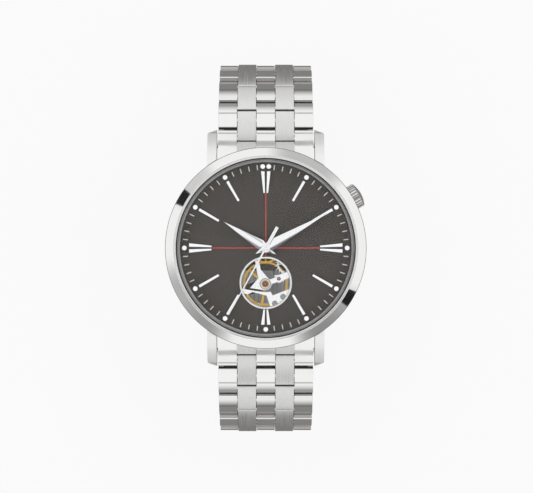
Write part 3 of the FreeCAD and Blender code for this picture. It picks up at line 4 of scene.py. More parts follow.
import bmesh
import bpy
import numpy as np
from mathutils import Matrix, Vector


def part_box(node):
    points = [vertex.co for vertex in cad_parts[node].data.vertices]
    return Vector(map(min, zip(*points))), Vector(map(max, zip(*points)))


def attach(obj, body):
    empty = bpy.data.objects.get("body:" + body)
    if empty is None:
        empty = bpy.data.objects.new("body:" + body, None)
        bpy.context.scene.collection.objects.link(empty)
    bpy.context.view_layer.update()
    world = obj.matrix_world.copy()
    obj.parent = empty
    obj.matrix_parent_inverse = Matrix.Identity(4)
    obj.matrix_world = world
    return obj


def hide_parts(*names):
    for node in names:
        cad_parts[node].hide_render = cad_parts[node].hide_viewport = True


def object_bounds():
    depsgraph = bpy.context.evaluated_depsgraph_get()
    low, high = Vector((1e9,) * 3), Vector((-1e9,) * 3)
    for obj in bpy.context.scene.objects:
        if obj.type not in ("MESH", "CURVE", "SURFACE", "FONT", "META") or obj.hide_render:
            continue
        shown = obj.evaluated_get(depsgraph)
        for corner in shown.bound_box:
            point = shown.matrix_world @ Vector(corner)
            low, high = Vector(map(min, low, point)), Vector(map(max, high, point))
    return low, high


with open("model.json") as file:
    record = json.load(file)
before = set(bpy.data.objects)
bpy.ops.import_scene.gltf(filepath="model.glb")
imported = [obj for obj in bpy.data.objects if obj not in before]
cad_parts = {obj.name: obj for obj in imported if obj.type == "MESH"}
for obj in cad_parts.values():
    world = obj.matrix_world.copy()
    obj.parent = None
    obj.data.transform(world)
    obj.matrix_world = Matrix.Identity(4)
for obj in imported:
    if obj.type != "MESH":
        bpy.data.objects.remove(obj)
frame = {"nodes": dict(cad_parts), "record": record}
cadBox = [list(corner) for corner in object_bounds()]
nodes = frame["nodes"]
bodyOf = {name: body for body, names in frame["record"]["behaviour"]["bodies"].items() for name in names}
mm = 0.001

print("frame loaded:", len(nodes), "nodes")

# Node helpers


def link(tree, source, target):
    tree.links.new(source, target)


def addNode(tree, kind, **settings):
    node = tree.nodes.new(kind)
    for name, value in settings.items():
        setattr(node, name, value)
    return node


def math2(tree, operation, first, second=None):
    # One Math node; a number goes on the socket, a socket is linked.
    node = addNode(tree, "ShaderNodeMath", operation=operation)
    for index, value in enumerate((first, second)):
        if value is None:
            continue
        if isinstance(value, (int, float)):
            node.inputs[index].default_value = value
        else:
            link(tree, value, node.inputs[index])
    return node.outputs[0]


def newGroup(name, inputs, outputs):
    # inputs are (name, kind, default); kind is Float, Vector or Color.
    group = bpy.data.node_groups.new(name, "ShaderNodeTree")
    for label, kind, default in inputs:
        socket = group.interface.new_socket(label, in_out="INPUT", socket_type="NodeSocket" + kind)
        if default is not None:
            socket.default_value = default
    for label, kind in outputs:
        group.interface.new_socket(label, in_out="OUTPUT", socket_type="NodeSocket" + kind)
    start = group.nodes.new("NodeGroupInput")
    end = group.nodes.new("NodeGroupOutput")
    return group, start.outputs, end.inputs


# Shared effects


def makeGrain():
    # Fine straight brushing: noise on coordinates that the material has already stretched.
    group, given, made = newGroup(
        "grain", [("Vector", "Vector", None), ("Rough low", "Float", 0.2), ("Rough high", "Float", 0.4)],
        [("Roughness", "Float"), ("Height", "Float")],
    )
    noise = addNode(group, "ShaderNodeTexNoise")
    noise.inputs["Scale"].default_value = 1.0
    noise.inputs["Detail"].default_value = 3.0
    link(group, given["Vector"], noise.inputs["Vector"])
    spread = addNode(group, "ShaderNodeMapRange")
    spread.inputs["From Min"].default_value = 0.3
    spread.inputs["From Max"].default_value = 0.7
    link(group, noise.outputs["Fac"], spread.inputs["Value"])
    link(group, given["Rough low"], spread.inputs["To Min"])
    link(group, given["Rough high"], spread.inputs["To Max"])
    link(group, spread.outputs["Result"], made["Roughness"])
    link(group, noise.outputs["Fac"], made["Height"])
    return group


def makeHandling():
    # Slow patches left by fingers and a cloth, plus a few hairline scratches.
    group, given, made = newGroup(
        "handling", [("Vector", "Vector", None), ("Clean", "Float", 0.05), ("Touched", "Float", 0.12)],
        [("Roughness", "Float"), ("Height", "Float")],
    )
    patches = addNode(group, "ShaderNodeTexNoise")
    patches.inputs["Scale"].default_value = 260.0
    patches.inputs["Detail"].default_value = 4.0
    link(group, given["Vector"], patches.inputs["Vector"])
    scratches = addNode(group, "ShaderNodeTexNoise")
    scratches.inputs["Scale"].default_value = 2600.0
    scratches.inputs["Detail"].default_value = 2.0
    scratches.inputs["Distortion"].default_value = 1.6
    link(group, given["Vector"], scratches.inputs["Vector"])
    spread = addNode(group, "ShaderNodeMapRange")
    spread.inputs["From Min"].default_value = 0.35
    spread.inputs["From Max"].default_value = 0.75
    link(group, patches.outputs["Fac"], spread.inputs["Value"])
    link(group, given["Clean"], spread.inputs["To Min"])
    link(group, given["Touched"], spread.inputs["To Max"])
    link(group, spread.outputs["Result"], made["Roughness"])
    link(group, scratches.outputs["Fac"], made["Height"])
    return group


def makeSunray():
    # Brushing that runs out from the centre: noise on the direction from the axis only.
    group, given, made = newGroup(
        "sunray", [("Vector", "Vector", None), ("Rays", "Float", 40.0)],
        [("Rays", "Float"), ("Reach", "Float")],
    )
    flat = addNode(group, "ShaderNodeVectorMath", operation="MULTIPLY")
    flat.inputs[1].default_value = (1.0, 1.0, 0.0)
    link(group, given["Vector"], flat.inputs[0])
    direction = addNode(group, "ShaderNodeVectorMath", operation="NORMALIZE")
    link(group, flat.outputs["Vector"], direction.inputs[0])
    noise = addNode(group, "ShaderNodeTexNoise")
    noise.inputs["Detail"].default_value = 4.0
    noise.inputs["Roughness"].default_value = 0.7
    link(group, direction.outputs["Vector"], noise.inputs["Vector"])
    link(group, given["Rays"], noise.inputs["Scale"])
    reach = addNode(group, "ShaderNodeVectorMath", operation="LENGTH")
    link(group, flat.outputs["Vector"], reach.inputs[0])
    link(group, noise.outputs["Fac"], made["Rays"])
    link(group, reach.outputs["Value"], made["Reach"])
    return group


def makeTurning():
    # Lathe marks: noise on the distance from the axis and the height along it.
    group, given, made = newGroup(
        "turning", [("Vector", "Vector", None), ("Fineness", "Float", 9000.0),
                    ("Rough low", "Float", 0.15), ("Rough high", "Float", 0.35)],
        [("Roughness", "Float"), ("Height", "Float")],
    )
    parts = addNode(group, "ShaderNodeSeparateXYZ")
    link(group, given["Vector"], parts.inputs[0])
    flat = addNode(group, "ShaderNodeCombineXYZ")
    link(group, parts.outputs["X"], flat.inputs["X"])
    link(group, parts.outputs["Y"], flat.inputs["Y"])
    reach = addNode(group, "ShaderNodeVectorMath", operation="LENGTH")
    link(group, flat.outputs[0], reach.inputs[0])
    along = addNode(group, "ShaderNodeCombineXYZ")
    link(group, reach.outputs["Value"], along.inputs["X"])
    link(group, parts.outputs["Z"], along.inputs["Y"])
    noise = addNode(group, "ShaderNodeTexNoise")
    noise.inputs["Detail"].default_value = 2.0
    link(group, along.outputs[0], noise.inputs["Vector"])
    link(group, given["Fineness"], noise.inputs["Scale"])
    spread = addNode(group, "ShaderNodeMapRange")
    spread.inputs["From Min"].default_value = 0.3
    spread.inputs["From Max"].default_value = 0.7
    link(group, noise.outputs["Fac"], spread.inputs["Value"])
    link(group, given["Rough low"], spread.inputs["To Min"])
    link(group, given["Rough high"], spread.inputs["To Max"])
    link(group, spread.outputs["Result"], made["Roughness"])
    link(group, noise.outputs["Fac"], made["Height"])
    return group


def makeStripes():
    # Broad watchmaker's stripes: a sawtooth across X, each stripe filled with fine arcs.
    group, given, made = newGroup(
        "stripes", [("Vector", "Vector", None), ("Width", "Float", 0.0012)],
        [("Shade", "Float"), ("Height", "Float")],
    )
    parts = addNode(group, "ShaderNodeSeparateXYZ")
    link(group, given["Vector"], parts.inputs[0])
    step = math2(group, "DIVIDE", parts.outputs["X"], given["Width"])
    saw = math2(group, "FRACT", step)
    arcs = addNode(group, "ShaderNodeTexNoise")
    arcs.inputs["Scale"].default_value = 1.0
    arcs.inputs["Detail"].default_value = 2.0
    bend = math2(group, "MULTIPLY", saw, 0.7)
    curved = math2(group, "POWER", bend, 2.0)
    lift = math2(group, "MULTIPLY", curved, 0.001)
    across = math2(group, "ADD", parts.outputs["Y"], lift)
    fine = math2(group, "MULTIPLY", across, 9000.0)
    place = addNode(group, "ShaderNodeCombineXYZ")
    link(group, step, place.inputs["X"])
    link(group, fine, place.inputs["Y"])
    link(group, place.outputs[0], arcs.inputs["Vector"])
    mixed = math2(group, "MULTIPLY", saw, 0.7)
    faint = math2(group, "MULTIPLY", arcs.outputs["Fac"], 0.3)
    shade = math2(group, "ADD", mixed, faint)
    link(group, shade, made["Shade"])
    link(group, shade, made["Height"])
    return group


def makePearls():
    # Rows of overlapping ground spots: rings around points of an even grid.
    group, given, made = newGroup(
        "pearls", [("Vector", "Vector", None), ("Spots", "Float", 1400.0)],
        [("Shade", "Float"), ("Height", "Float")],
    )
    cells = addNode(group, "ShaderNodeTexVoronoi", voronoi_dimensions="2D")
    cells.inputs["Randomness"].default_value = 0.0
    link(group, given["Vector"], cells.inputs["Vector"])
    link(group, given["Spots"], cells.inputs["Scale"])
    rings = math2(group, "MULTIPLY", cells.outputs["Distance"], 34.0)
    wave = math2(group, "SINE", rings)
    faint = math2(group, "MULTIPLY", wave, 0.18)
    shade = math2(group, "ADD", cells.outputs["Distance"], faint)
    link(group, shade, made["Shade"])
    link(group, shade, made["Height"])
    return group


grain = makeGrain()
handling = makeHandling()
sunray = makeSunray()
turning = makeTurning()
stripes = makeStripes()
pearls = makePearls()
print("shared effects made")

# Materials


def newMaterial(name, colour, metallic=1.0, roughness=0.3, **more):
    # A Principled material; more holds plain values for its other sockets.
    material = bpy.data.materials.new(name)
    material.use_nodes = True
    tree = material.node_tree
    shader = tree.nodes["Principled BSDF"]
    shader.inputs["Base Color"].default_value = (*colour, 1.0)
    shader.inputs["Metallic"].default_value = metallic
    shader.inputs["Roughness"].default_value = roughness
    for socket, value in more.items():
        shader.inputs[socket.replace("_", " ")].default_value = value
    return material, tree, shader


def coordinates(tree, scale=(1.0, 1.0, 1.0), spin=0.0):
    # Object coordinates, stretched by scale and turned about the watch's axis by spin.
    where = addNode(tree, "ShaderNodeTexCoord")
    mapping = addNode(tree, "ShaderNodeMapping")
    mapping.inputs["Rotation"].default_value = (0.0, 0.0, spin)
    mapping.inputs["Scale"].default_value = scale
    link(tree, where.outputs["Object"], mapping.inputs["Vector"])
    return mapping.outputs["Vector"]


def placeGroup(tree, group, vector, **values):
    node = addNode(tree, "ShaderNodeGroup", node_tree=group)
    link(tree, vector, node.inputs["Vector"])
    for name, value in values.items():
        node.inputs[name.replace("_", " ")].default_value = value
    return node


def addBump(tree, shader, height, distance):
    bump = addNode(tree, "ShaderNodeBump")
    bump.inputs["Strength"].default_value = 1.0
    bump.inputs["Distance"].default_value = distance
    link(tree, height, bump.inputs["Height"])
    link(tree, bump.outputs["Normal"], shader.inputs["Normal"])


def shadeBetween(tree, shader, factor, low, high):
    # Base colour runs from low to high with the factor.
    mix = addNode(tree, "ShaderNodeMix", data_type="RGBA")
    mix.inputs["A"].default_value = (*low, 1.0)
    mix.inputs["B"].default_value = (*high, 1.0)
    link(tree, factor, mix.inputs["Factor"])
    link(tree, mix.outputs["Result"], shader.inputs["Base Color"])


def polished(name, colour, clean=0.05, touched=0.12, depth=2e-7):
    material, tree, shader = newMaterial(name, colour)
    effect = placeGroup(tree, handling, coordinates(tree), Clean=clean, Touched=touched)
    link(tree, effect.outputs["Roughness"], shader.inputs["Roughness"])
    addBump(tree, shader, effect.outputs["Height"], depth)
    return material


def brushed(name, low, high, scale, rough=(0.24, 0.42), depth=3e-6, metallic=1.0):
    material, tree, shader = newMaterial(name, high, metallic=metallic)
    effect = placeGroup(tree, grain, coordinates(tree, scale=scale),
                        Rough_low=rough[0], Rough_high=rough[1])
    link(tree, effect.outputs["Roughness"], shader.inputs["Roughness"])
    shadeBetween(tree, shader, effect.outputs["Height"], low, high)
    addBump(tree, shader, effect.outputs["Height"], depth)
    return material


def turned(name, colour, rough=(0.14, 0.3), fineness=9000.0, depth=2e-6):
    material, tree, shader = newMaterial(name, colour)
    effect = placeGroup(tree, turning, coordinates(tree), Fineness=fineness,
                        Rough_low=rough[0], Rough_high=rough[1])
    link(tree, effect.outputs["Roughness"], shader.inputs["Roughness"])
    addBump(tree, shader, effect.outputs["Height"], depth)
    return material


def dialLacquer(values):
    # Rays of light and dark from the centre; darker towards the rim, a painted shadow of the bezel.
    material, tree, shader = newMaterial("dialLacquer", values["light"], metallic=values["metallic"],
                                         roughness=values["roughness"], Specular_IOR_Level=values["gloss"])
    effect = placeGroup(tree, sunray, coordinates(tree), Rays=values["rays"])
    reach = addNode(tree, "ShaderNodeMapRange", interpolation_type="SMOOTHSTEP")
    reach.inputs["From Min"].default_value = values["rimStart"]
    reach.inputs["From Max"].default_value = values["rimEnd"]
    reach.inputs["To Min"].default_value = 1.0
    reach.inputs["To Max"].default_value = values["rimShade"]
    link(tree, effect.outputs["Reach"], reach.inputs["Value"])
    raysAndRimShade = math2(tree, "MULTIPLY", effect.outputs["Rays"], reach.outputs["Result"])
    shadeBetween(tree, shader, raysAndRimShade, values["dark"], values["light"])
    return material


def speckle(tree, shader, scale, low, high):
    # Colour varies softly from low to high with a noise of this scale.
    noise = addNode(tree, "ShaderNodeTexNoise")
    noise.inputs["Scale"].default_value = scale
    link(tree, coordinates(tree), noise.inputs["Vector"])
    shadeBetween(tree, shader, noise.outputs["Fac"], low, high)
    return noise.outputs["Fac"]


def enamel(name, colour, speck=0.03):
    # Printed or lacquered colour with a little unevenness.
    material, tree, shader = newMaterial(name, colour, metallic=0.0, roughness=0.35)
    low = tuple(max(0.0, part - speck) for part in colour)
    speckle(tree, shader, 3200.0, low, colour)
    return material


def patterned(name, group, low, high, roughness, depth, spin=0.0, **values):
    material, tree, shader = newMaterial(name, high, roughness=roughness)
    effect = placeGroup(tree, group, coordinates(tree, spin=spin), **values)
    shadeBetween(tree, shader, effect.outputs["Shade"], low, high)
    addBump(tree, shader, effect.outputs["Height"], depth)
    return material


def clearGlass(name, tint):
    # Light passes straight through to what lies under the glass.
    # The low refractive index stands for an anti-reflection coating.
    material, tree, shader = newMaterial(name, tint, metallic=0.0, roughness=0.0, IOR=1.2,
                                         Transmission_Weight=1.0)
    clear = addNode(tree, "ShaderNodeBsdfTransparent")
    path = addNode(tree, "ShaderNodeLightPath")
    mix = addNode(tree, "ShaderNodeMixShader")
    end = tree.nodes["Material Output"]
    link(tree, path.outputs["Is Shadow Ray"], mix.inputs[0])
    link(tree, shader.outputs[0], mix.inputs[1])
    link(tree, clear.outputs[0], mix.inputs[2])
    link(tree, mix.outputs[0], end.inputs["Surface"])
    return material


def gemstone(name, colour):
    material, tree, shader = newMaterial(name, colour, metallic=0.0, roughness=0.04, IOR=1.76,
                                         Coat_Weight=0.5, Coat_Roughness=0.02)
    speckle(tree, shader, 1800.0, tuple(part * 0.45 for part in colour), colour)
    return material


def rubber(name, colour):
    material, tree, shader = newMaterial(name, colour, metallic=0.0, roughness=0.7)
    height = speckle(tree, shader, 5000.0, tuple(part * 0.6 for part in colour), colour)
    addBump(tree, shader, height, 4e-6)
    return material


steelTone = (0.84, 0.835, 0.83)
steelShade = (0.66, 0.655, 0.65)
alongBracelet = (9000.0, 160.0, 160.0)
aroundCase = (160.0, 160.0, 9000.0)

dialValues = {
    "dark": (0.047, 0.0420, 0.0380), "light": (0.080, 0.0725, 0.0660),
    "metallic": 0.3, "roughness": 0.45, "gloss": 0.1, "rays": 14.0,
    # rimStart to rimEnd is where the painted rim shadow falls, rimShade is how dark it gets
    "rimStart": 0.0135, "rimEnd": 0.0176, "rimShade": 0.6,
}

finishes = {
    "mirror": polished("mirrorSteel", steelTone),
    "bezel": polished("bezelSteel", (0.83, 0.825, 0.82), clean=0.015, touched=0.035, depth=5e-8),
    "brushedLinks": brushed("brushedLinkSteel", steelShade, steelTone, alongBracelet),
    "brushedLugs": brushed("brushedLugSteel", (0.93, 0.925, 0.92), (0.98, 0.975, 0.97), alongBracelet,
                           rough=(0.3, 0.42), metallic=0.25),
    # Dark steel: painted shade in the bracelet's gaps and the crown's flutes; also the balance collar's
    # finish.
    "darkSteelAndShade": turned("darkSteelAndShadeFinish", (0.42, 0.415, 0.41), rough=(0.3, 0.45)),
    "brushedSides": brushed("brushedSideSteel", steelShade, steelTone, aroundCase),
    "turned": turned("turnedSteel", steelTone),
    "dial": dialLacquer(dialValues),
    "trackPrint": enamel("trackPrint", (0.62, 0.60, 0.58)),
    "redPrint": enamel("redPrint", (0.40, 0.055, 0.050)),
    "markers": polished("rhodiumMarkers", (0.93, 0.93, 0.93), clean=0.12, touched=0.2),
    "hands": polished("rhodiumHands", (0.90, 0.90, 0.91), clean=0.06, touched=0.12),
    "secondHand": brushed("satinHand", (0.78, 0.78, 0.79), (0.9, 0.9, 0.91), alongBracelet,
                          rough=(0.2, 0.3)),
    "plate": patterned("pearledPlate", pearls, (0.84, 0.84, 0.85), (0.93, 0.93, 0.93), 0.16, 1e-6),
    "bridges": patterned("stripedBridges", stripes, (0.50, 0.50, 0.51), (0.86, 0.86, 0.87), 0.22, 5e-6,
                         spin=0.6),
    "rotor": patterned("stripedRotor", stripes, (0.52, 0.52, 0.53), (0.88, 0.88, 0.89), 0.2, 6e-6,
                       Width=0.0016),
    "gilt": turned("giltBrass", (0.58, 0.37, 0.085), rough=(0.14, 0.28)),
    "wheelSteel": turned("wheelSteel", (0.72, 0.72, 0.73)),
    "screws": turned("screwSteel", (0.30, 0.30, 0.31), rough=(0.06, 0.18)),
    "spring": brushed("springSteel", (0.10, 0.10, 0.11), (0.20, 0.20, 0.22), aroundCase,
                      rough=(0.15, 0.25)),
    "ruby": gemstone("rubyJewels", (0.20, 0.008, 0.10)),
    "flange": brushed("flangeSteel", (0.72, 0.72, 0.72), (0.80, 0.80, 0.80), aroundCase,
                      metallic=0.3),
    # Near black: painted shade on the faces of the bridges and rotor that face the dial.
    "paintedShadeInside": turned("paintedShadeInside", (0.085, 0.077, 0.072), rough=(0.3, 0.45)),
    "crystal": clearGlass("crystalGlass", (0.985, 0.99, 0.99)),
    "seal": rubber("sealRubber", (0.03, 0.03, 0.032)),
}
print("materials made:", len(finishes))

# Pieces


def paint(piece, *names):
    piece.data.materials.clear()
    for name in names:
        piece.data.materials.append(finishes[name])


def faceFacts(piece):
    # Middles and normals of all faces as two arrays.
    faces = piece.data.polygons
    middles = np.empty(len(faces) * 3)
    normals = np.empty(len(faces) * 3)
    faces.foreach_get("center", middles)
    faces.foreach_get("normal", normals)
    return middles.reshape(-1, 3), normals.reshape(-1, 3)


def chooseFaces(piece, chosen):
    piece.data.polygons.foreach_set("material_index", chosen.astype(np.int32))
    piece.data.update()


edgeValues = {"segments": 2, "sharpFrom": 32.0, "flatWithin": 0.4}


def eased(name, title, width):
    # A copy of a machined part whose sharp edges are broken by width.
    piece = bpy.data.objects.new(title, nodes[name].data.copy())
    bpy.context.scene.collection.objects.link(piece)
    shape = bmesh.new()
    shape.from_mesh(piece.data)
    bmesh.ops.remove_doubles(shape, verts=shape.verts, dist=1e-6)
    bmesh.ops.dissolve_limit(shape, angle_limit=math.radians(edgeValues["flatWithin"]),
                             verts=shape.verts, edges=shape.edges)
    shape.to_mesh(piece.data)
    shape.free()
    if "custom_normal" in piece.data.attributes:
        piece.data.attributes.remove(piece.data.attributes["custom_normal"])
    piece.data.polygons.foreach_set("use_smooth", np.ones(len(piece.data.polygons), bool))
    piece.data.set_sharp_from_angle(angle=math.radians(edgeValues["sharpFrom"]))
    bevel = piece.modifiers.new("edges", "BEVEL")
    bevel.width = width
    bevel.segments = edgeValues["segments"]
    bevel.limit_method = "ANGLE"
    bevel.angle_limit = math.radians(edgeValues["sharpFrom"])
    bevel.harden_normals = True
    bevel.use_clamp_overlap = True
    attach(piece, bodyOf[name])
    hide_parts(name)
    return piece


def paintColumns(piece, whole, tilt, outward):
    # Outer and middle columns are polished, the two between them and all sides are brushed;
    # the ends and the underside, which only show in the gaps, get dark steel as painted shade in the gaps.
    middles, normals = faceFacts(piece)
    across = np.abs(middles[:, 0])
    inner, outer = braceletValues["brushedColumn"]
    brushedColumn = (across > whole * inner) & (across < whole * outer)
    side = np.abs(normals[:, 0]) > braceletValues["sidesFrom"]
    up = normals[:, 1] * outward * math.sin(tilt) + normals[:, 2] * math.cos(tilt)
    hidden = ~side & (up < braceletValues["endsBelow"])
    chooseFaces(piece, np.where(hidden, 2, np.where(brushedColumn | side, 1, 0)))


# tilts are the links' turns from level, in degrees; brushedColumn is in shares of the width.
braceletValues = {
    "edge": 0.07 * mm, "endsBelow": 0.3, "sidesFrom": 0.8, "brushedColumn": (0.1, 0.3),
    "tilts": (3.0, 26.0, 46.0, 72.0, 90.0, 106.0, 122.0, 138.0, 154.0),
    "firstWidth": 19.4 * mm, "endWidth": 19.5 * mm,
}
for side, outward in (("top", 1.0), ("bottom", -1.0)):
    for number, tilt in enumerate(braceletValues["tilts"]):
        name = f"{side}_link_{number}"
        low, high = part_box(name)
        whole = braceletValues["firstWidth"] if number == 0 else high.x - low.x
        piece = eased(name, f"{side}Link{number}", braceletValues["edge"])
        paint(piece, "mirror", "brushedLinks", "darkSteelAndShade")
        paintColumns(piece, whole, math.radians(tilt), outward)
piece = eased("end_links", "endLinks", braceletValues["edge"])
paint(piece, "mirror", "brushedLinks", "darkSteelAndShade")
paintColumns(piece, braceletValues["endWidth"], 0.0, 1.0)
print("bracelet finished")

caseValues = {"lugEdge": 0.12 * mm, "lugsFrom": 20.3 * mm, "topsFrom": 0.3, "sidesBelow": 0.5}
case = eased("mid_case", "caseMiddle", caseValues["lugEdge"])
paint(case, "brushedLugs", "brushedSides", "mirror")
middles, normals = faceFacts(case)
onLug = np.hypot(middles[:, 0], middles[:, 1]) > caseValues["lugsFrom"]
upward = normals[:, 2] > caseValues["topsFrom"]
level = np.abs(normals[:, 2]) < caseValues["sidesBelow"]
chooseFaces(case, np.where(upward & onLug, 0, np.where(level, 1, 2)))

plainFinishes = {
    "bezel": "bezel", "crystal": "crystal", "gaskets": "seal", "case_back": "turned",
    "case_back_glass": "crystal", "rehaut": "flange", "dial": "dial", "aperture_ring": "mirror",
    "second_hand": "secondHand", "hour_wheel": "gilt", "cannon_pinion": "wheelSteel",
    "minute_wheel": "gilt", "mainspring_barrel": "gilt", "centre_wheel": "gilt", "third_wheel": "gilt",
    "fourth_wheel": "gilt", "escape_wheel": "wheelSteel", "pallet_fork": "wheelSteel",
    "balance_wheel": "gilt", "hairspring": "spring", "jewels": "ruby", "movement_screws": "screws",
    "crown_tube": "turned", "crown_seal": "seal", "winding_stem": "wheelSteel",
    "movement_ring": "turned", "spring_bars": "turned",
}
for name, finish in plainFinishes.items():
    paint(nodes[name], finish)
    chooseFaces(nodes[name], np.zeros(len(nodes[name].data.polygons)))

# New name, finish and edge width in mm of each machined part
easedFinishes = {
    "hour_markers": ("hourMarkers", "markers", 0.06), "hour_hand": ("hourHand", "hands", 0.02),
    "minute_hand": ("minuteHand", "hands", 0.02), "main_plate": ("mainPlate", "plate", 0.06),
    "train_bridge": ("trainBridge", "bridges", 0.08), "balance_bridge": ("balanceBridge", "bridges", 0.06),
    "rotor": ("rotorWeight", "rotor", 0.08), "crown": ("crownCap", "mirror", 0.03),
    "inner_blade": ("innerBlade", "brushedLinks", 0.06), "outer_blade": ("outerBlade", "brushedLinks", 0.06),
    "clasp_cover": ("claspCover", "brushedLinks", 0.08),
    "left_push_button": ("leftPushButton", "mirror", 0.06),
    "right_push_button": ("rightPushButton", "mirror", 0.06),
}
shadedTops = ("train_bridge", "balance_bridge", "rotor")
crownValues = {
    "angle": math.radians(30.0), "height": 4.55 * mm, "valleysFrom": 2.232 * mm, "valleysWithin": 2.48 * mm,
}


def crownValleys(piece, values):
    # Faces of the flutes: nearer the crown's axis than its lands, and not facing along it.
    middles, normals = faceFacts(piece)
    axis = np.array([math.cos(values["angle"]), math.sin(values["angle"]), 0.0])
    offset = middles - np.array([0.0, 0.0, values["height"]])
    away = np.linalg.norm(offset - (offset @ axis)[:, None] * axis, axis=1)
    inValley = (away > values["valleysFrom"]) & (away < values["valleysWithin"])
    return inValley & (np.abs(normals @ axis) < 0.5)


for name, (title, finish, width) in easedFinishes.items():
    piece = eased(name, title, width * mm)
    paint(piece, finish, "darkSteelAndShade" if name == "crown" else "paintedShadeInside")
    # Faces turned to the dial take the near-black finish as painted shade.
    if name in shadedTops:
        middles, normals = faceFacts(piece)
        chooseFaces(piece, normals[:, 2] > 0.5)
    # The crown's flutes take the dark steel as painted shade.
    if name == "crown":
        chooseFaces(piece, crownValleys(piece, crownValues))
print("case, movement and clasp finished")

# Printed lines on the dial


def thinBars(title, middles, directions, lengths, widths, height, low, finish):
    # Flat boxes: each corner is middle + direction * half length + side * half width, at two heights.
    sides = np.stack([-directions[:, 1], directions[:, 0]], axis=1)
    alongHalf = directions * (lengths / 2)[:, None]
    sideHalf = sides * (widths / 2)[:, None]
    corners = np.stack([middles - alongHalf - sideHalf, middles + alongHalf - sideHalf,
                        middles + alongHalf + sideHalf, middles - alongHalf + sideHalf], axis=1)
    count = len(middles)
    lower = np.concatenate([corners, np.full((count, 4, 1), low)], axis=2)
    upper = np.concatenate([corners, np.full((count, 4, 1), low + height)], axis=2)
    points = np.concatenate([lower, upper], axis=1).reshape(-1, 3)
    box = np.array([[3, 2, 1, 0], [4, 5, 6, 7], [0, 1, 5, 4], [1, 2, 6, 5], [2, 3, 7, 6], [3, 0, 4, 7]])
    faces = (np.arange(count)[:, None, None] * 8 + box[None]).reshape(-1, 4)
    mesh = bpy.data.meshes.new(title)
    mesh.from_pydata(points.tolist(), [], faces.tolist())
    piece = bpy.data.objects.new(title, mesh)
    bpy.context.scene.collection.objects.link(piece)
    paint(piece, finish)
    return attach(piece, "watch_head")


trackValues = {"inner": 15.9 * mm, "outer": 16.9 * mm, "width": 0.2 * mm, "height": 0.012 * mm}
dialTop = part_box("dial")[1].z
minutes = np.array([minute for minute in range(60) if minute % 5])
angles = np.radians(minutes * 6.0)
outward = np.stack([np.sin(angles), np.cos(angles)], axis=1)
ones = np.ones(len(minutes))
thinBars(
    "minuteTrack", outward * (trackValues["inner"] + trackValues["outer"]) / 2, outward,
    ones * (trackValues["outer"] - trackValues["inner"]), ones * trackValues["width"],
    trackValues["height"], dialTop, "trackPrint",
)

crossValues = {"width": 0.26 * mm, "reach": 10.9 * mm, "top": 11.15 * mm, "height": 0.012 * mm}
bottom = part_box("aperture_ring")[1].y
crossMiddles = np.array([[0.0, 0.0], [0.0, (crossValues["top"] + bottom) / 2]])
crossDirections = np.array([[1.0, 0.0], [0.0, 1.0]])
crossLengths = np.array([crossValues["reach"] * 2, crossValues["top"] - bottom])
thinBars(
    "crosshair", crossMiddles, crossDirections, crossLengths, np.full(2, crossValues["width"]),
    crossValues["height"], dialTop, "redPrint",
)
print("dial printed")

# Collars, turned on a lathe

collarDetail = {"steps": 48, "count": 9, "sharpFrom": 35.0}


def lathePiece(title, profile, centre, finish, body):
    # Points at radius * (cos, sin) of the turn about the centre, at the profile's height;
    # the profile is a closed loop, so the surface closes both ways.
    steps = collarDetail["steps"]
    turns = np.linspace(0.0, 2 * math.pi, steps, endpoint=False)
    radius = profile[:, 0][None, :]
    points = np.stack([
        centre[0] + radius * np.cos(turns)[:, None], centre[1] + radius * np.sin(turns)[:, None],
        np.broadcast_to(profile[:, 1][None, :], (steps, len(profile))),
    ], axis=2).reshape(-1, 3)
    ring = len(profile)
    row = np.arange(steps)[:, None]
    column = np.arange(ring)[None, :]
    here = row * ring + column
    beside = row * ring + (column + 1) % ring
    ahead = ((row + 1) % steps) * ring + column
    across = ((row + 1) % steps) * ring + (column + 1) % ring
    faces = np.stack([here, ahead, across, beside], axis=2).reshape(-1, 4)
    mesh = bpy.data.meshes.new(title)
    mesh.from_pydata(points.tolist(), [], faces.tolist())
    mesh.polygons.foreach_set("use_smooth", np.ones(len(faces), bool))
    mesh.set_sharp_from_angle(angle=math.radians(collarDetail["sharpFrom"]))
    piece = bpy.data.objects.new(title, mesh)
    bpy.context.scene.collection.objects.link(piece)
    paint(piece, finish)
    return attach(piece, body)


def domeLoop(values, seat):
    # A ring's section: flat underneath, half an ellipse above, sunk a little into its seat.
    # across = middle + half width * cos(swing), up = low + height * sin(swing)
    swing = np.linspace(0.0, math.pi, collarDetail["count"])
    inner, outer = values["inner"], values["outer"]
    low = seat - values["sunk"]
    across = (inner + outer) / 2 + (outer - inner) / 2 * np.cos(swing)
    up = low + (seat + values["rise"] - low) * np.sin(swing)
    return np.stack([across, up], axis=1)


staffLow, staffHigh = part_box("balance_wheel")
staff = ((staffLow.x + staffHigh.x) / 2, (staffLow.y + staffHigh.y) / 2)
plateTop = 5.85 * mm
chatonValues = {"inner": 0.52 * mm, "outer": 0.80 * mm, "sunk": 0.02 * mm, "rise": 0.10 * mm}
collarValues = {"inner": 0.90 * mm, "outer": 1.18 * mm, "sunk": 0.02 * mm, "rise": 0.05 * mm}
hubValues = {"inner": 0.12 * mm, "outer": 0.62 * mm, "sunk": 0.06 * mm, "rise": 0.04 * mm}
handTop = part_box("second_hand")[1].z
lathePiece("balanceChaton", domeLoop(chatonValues, plateTop), staff, "gilt", "watch_head")
lathePiece("balanceCollar", domeLoop(collarValues, plateTop), staff, "darkSteelAndShade", "watch_head")
lathePiece("secondHubCap", domeLoop(hubValues, handTop), (0.0, 0.0), "hands", bodyOf["second_hand"])
print("collars turned")

# Studio

